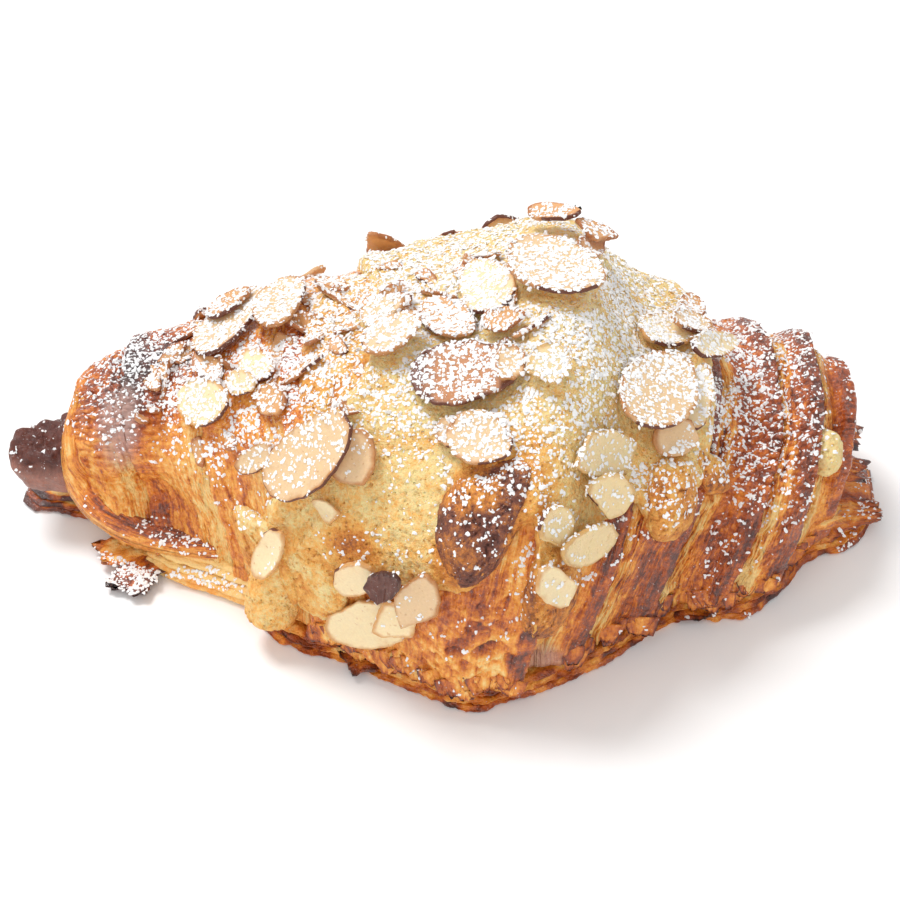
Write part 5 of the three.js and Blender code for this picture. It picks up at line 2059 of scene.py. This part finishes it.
@dataclass(frozen=True)
class Dusting:
    """Sugar sifted over the croissant: a film in the finishes and real clumps on top."""

    seed: int = 211
    spacing: float = 0.55
    sizes: tuple[tuple[str, int, int, float, float], ...] = (
        ("clusters", 2700, 3, 0.28, 0.48), ("clumps", 4900, 2, 0.24, 0.44),
        ("grains", 9600, 1, 0.22, 0.42), ("specks", 4500, 1, 0.08, 0.2),
    )

    fallen: tuple[Spot, ...] = (
        Spot((0, -2, 55), (44, 26, 16), 0.62), Spot((-52, 2, 40), (24, 22, 12), 0.25),
        Spot((36, -21, 50), (10, 8, 9), -0.6), Spot((3, -24, 59), (10, 6, 6), -0.22),
        Spot((-42, -14, 36), (14, 12, 12), 0.26), Spot((-48, 4, 44), (10, 14, 8), 0.1),
        Spot((22, -20, 56), (26, 22, 18), 0.34), Spot((44, -20, 44), (12, 18, 14), 0.2),
        Spot((60, 0, 34), (18, 22, 12), 0.21), Spot((34, -8, 56), (12, 18, 12), 0.3),
        Spot((74, 0, 30), (6, 14, 14), -0.2), Spot((80, -4, 15), (9, 12, 8), -0.3),
        Spot((-70, -8, 14), (7, 7, 9), -0.25), Spot((-63, -17, 2), (7, 7, 4), 0.4),
        Spot((-48, -20, 5), (14, 7, 5), 0.6), Spot((5, -43, 42), (8, 8, 8), -0.1),
        Spot((30, -38, 24), (24, 12, 14), 0.08), Spot((-12, -36, 42), (12, 8, 10), -0.2),
        Spot((-30, -36, 12), (12, 10, 12), -0.1), Spot((14, -46, 40), (8, 10, 12), 0.08),
        Spot((-82, 2, 16), (9, 12, 12), -0.3),
    )
    least: float = 0.02
    usual: float = 0.085
    batch: int = 6000

    @classmethod
    def density(cls, points: Array) -> Array:
        """Tell how thickly the sugar fell at each place, from nearly 0 to 1 for the most."""
        return np.clip(cls.usual + painted(cls.fallen, points), cls.least, 1.0)

    @classmethod
    def film(cls, points: Array, normals: Array | None = None) -> Array:
        """Paint the thin film of sugar.

        Args:
            points: in mm.
            normals: which way the surface faces, where it is known.

        Returns:
            0 for none to 1 for a closed film.
        """
        if normals is None:
            normals = unit(np.cross(np.gradient(points, axis=0), np.gradient(points, axis=1)))
            normals = normals * np.sign(normals[..., 2:].mean())
        patches = 0.7 + 0.8 * Noise(cls.seed + 12).fractal(points / 7.0, 3)
        upwards = smooth(0.05, 0.8, normals[..., 2])
        return np.clip(cls.density(points) * upwards * patches, 0.0, 1.0)

    def build(self) -> None:
        """Scatter the clumps."""
        sugar = SugarFinish().material("sifted_sugar")
        rng = np.random.default_rng(self.seed)
        lands = self._landings(rng, sum(size[1] for size in self.sizes))
        start = 0
        for name, count, lumps, small, large in self.sizes:
            form = self._clumps(rng, lands[start : start + count], lumps, small, large)
            add_piece(f"sugar_{name}", form, sugar)
            start += count

    def _landings(self, rng: np.random.Generator, wanted: int) -> Array:
        """Let sugar fall on the croissant.

        Args:
            rng: the random draws.
            wanted: how many clumps.

        Returns:
            (place, facing) of each clump, in mm.
        """
        graph = bpy.context.evaluated_depsgraph_get()
        scene = bpy.context.scene
        low, high = np.array(CAD_BOX[0]) / MM, np.array(CAD_BOX[1]) / MM
        patchy = Noise(self.seed + 1)
        found: list[Array] = []
        while len(found) < wanted:
            batch = rng.uniform(low[:2], high[:2], (self.batch, 2))
            lot = rng.uniform(0.0, 1.0, self.batch)
            for (x, y), chance in zip(batch, lot):
                top = Vector((x * MM, y * MM, DROP))
                hit, place, facing, _, _, _ = scene.ray_cast(graph, top, DOWN)
                if not hit or place.z < 0.0004 or facing.z < 0.05:
                    continue
                found.append(np.array([*(c / MM for c in place), *facing, chance]))
            every = np.array(found)
            amount = self.density(every[:, :3])
            clump = patchy.fractal(every[:, :3] / 2.4, 3)
            keep = every[:, 6] < amount * (0.65 + 0.9 * clump)
            kept = every[keep]
            _, apart = np.unique(np.floor(kept[:, :2] / self.spacing), axis=0, return_index=True)
            kept = kept[np.sort(apart)]
            if len(kept) >= wanted or len(found) > 9 * wanted:
                return kept[:wanted, :6]
            found = list(kept)
        return np.array(found)[:wanted, :6]

    def _clumps(
        self, rng: np.random.Generator, lands: Array, lumps: int, small: float, large: float
    ) -> Form:
        """Make a clump at each landing.

        Args:
            rng: the random draws.
            lands: (place, facing) of each clump, in mm.
            lumps: how many ragged lumps make a clump.
            small: least half-width of a lump.
            large: greatest half-width.

        Returns:
            All the clumps.
        """
        points, faces = self._ball()
        k = len(points)
        facing = np.repeat(lands[:, 3:6], lumps, axis=0)
        count = len(facing)
        size = small + (large - small) * rng.power(0.6, count)
        ragged = rng.uniform(0.5, 1.5, (count, k, 1))
        lump = points[None] * ragged * rng.uniform(0.6, 1.4, (count, 1, 3)) * size[:, None, None]
        along = np.einsum("nkj,nj->nk", lump, facing)
        lump = lump - 0.6 * along[..., None] * facing[:, None]
        aside = rng.normal(0.0, 1.0, (count, 3)) * (1.05 * size[:, None] if lumps > 1 else 0.0)
        aside -= np.einsum("nj,nj->n", aside, facing)[:, None] * facing
        seat = np.repeat(lands[:, :3], lumps, axis=0) + aside + facing * (size * 0.12)[:, None]
        sown = (seat[:, None] + lump).reshape(-1, 3)
        sown[:, 2] = np.clip(sown[:, 2], 0.02, CAD_BOX[1][2] / MM)
        shifted = faces[None] + (np.arange(count) * k)[:, None, None]
        return Form(sown, [tuple(f) for f in shifted.reshape(-1, 3).tolist()], rounded=False)

    @staticmethod
    def _ball() -> tuple[Array, Array]:
        """Make a small round body of twenty triangles, as its points and faces."""
        g = (1 + math.sqrt(5)) / 2
        points = [(-1, g, 0), (1, g, 0), (-1, -g, 0), (1, -g, 0), (0, -1, g), (0, 1, g),
                  (0, -1, -g), (0, 1, -g), (g, 0, -1), (g, 0, 1), (-g, 0, -1), (-g, 0, 1)]
        faces = [(0, 11, 5), (0, 5, 1), (0, 1, 7), (0, 7, 10), (0, 10, 11), (1, 5, 9), (5, 11, 4),
                 (11, 10, 2), (10, 7, 6), (7, 1, 8), (3, 9, 4), (3, 4, 2), (3, 2, 6), (3, 6, 8),
                 (3, 8, 9), (4, 9, 5), (2, 4, 11), (6, 2, 10), (8, 6, 7), (9, 8, 1)]
        return np.array(points) / math.hypot(1, g), np.array(faces)


# ---- studio


@dataclass
class Studio:
    """The pale floor, the soft light and the camera."""

    aim: Triple = (0.0, -0.005, 0.022)
    elevation: float = 42.0
    distance: float = 0.42
    focal_px: float = 2142.0
    frame_px: float = 900.0
    aim_px: Pair = (450.0, 456.0)
    sensor: float = 36.0
    floor_half: float = 6.0
    world: float = 0.66
    key_watts: float = 9.0
    key_size: float = 0.4
    key_place: Triple = (-0.45, 0.3, 1.1)
    fill_watts: float = 4.6
    fill_size: float = 1.2
    fill_place: Triple = (-0.1, -1.0, 0.8)

    def build(self) -> None:
        """Set up the floor, the light and the camera."""
        bpy.context.scene.view_settings.view_transform = "Standard"
        self._floor()
        self._light()
        self._camera()

    def _floor(self) -> None:
        """Lay the floor."""
        mesh = bpy.data.meshes.new("floor")
        half = self.floor_half
        corners = [(-half, -half, 0), (half, -half, 0), (half, half, 0), (-half, half, 0)]
        mesh.from_pydata(corners, [], [(0, 1, 2, 3)])
        mesh.materials.append(FloorFinish().material("pale_floor"))
        placed("floor", mesh)

    def _light(self) -> None:
        """Hang two soft lights and light the surroundings evenly."""
        world = bpy.data.worlds.new("surroundings")
        bpy.context.scene.world = world
        world.use_nodes = True
        background = world.node_tree.nodes["Background"]
        background.inputs["Color"].default_value = (1.0, 1.0, 1.0, 1.0)
        background.inputs["Strength"].default_value = self.world
        for name, watts, size, place in (
            ("key", self.key_watts, self.key_size, self.key_place),
            ("fill", self.fill_watts, self.fill_size, self.fill_place),
        ):
            light = bpy.data.lights.new(name, "AREA")
            light.energy, light.size = watts, size
            lamp = placed(name, light)
            lamp.location = place
            way = Vector(self.aim) - Vector(place)
            lamp.rotation_euler = way.to_track_quat("-Z", "Y").to_euler()

    def _camera(self) -> None:
        """Stand the camera where the photograph was taken from."""
        data = bpy.data.cameras.new("camera")
        camera = placed("camera", data)
        tilt = math.radians(self.elevation)
        aim = Vector(self.aim)
        camera.location = aim + self.distance * Vector((0.0, -math.cos(tilt), math.sin(tilt)))
        camera.rotation_euler = (math.radians(90.0) - tilt, 0.0, 0.0)
        data.sensor_width = self.sensor
        data.lens = self.focal_px / self.frame_px * self.sensor
        data.shift_x = (self.frame_px / 2 - self.aim_px[0]) / self.frame_px
        data.shift_y = (self.aim_px[1] - self.frame_px / 2) / self.frame_px
        data.clip_start, data.clip_end = 0.01, 50.0
        bpy.context.scene.camera = camera


def main() -> None:
    """Build the croissant piece by piece, then the studio."""
    logging.basicConfig(level=logging.INFO, format="%(message)s")
    form = RollForm()
    pastry = PastryRoll(form), CrustFlakes(form), BottomCrust(form), AlmondCream(form)
    for part in (*pastry, AlmondSlices(), Dusting(), Studio()):
        part.build()
        log.info("%s done", type(part).__name__)
    log.info("sizes written")


if __name__ == "__main__":
    main()
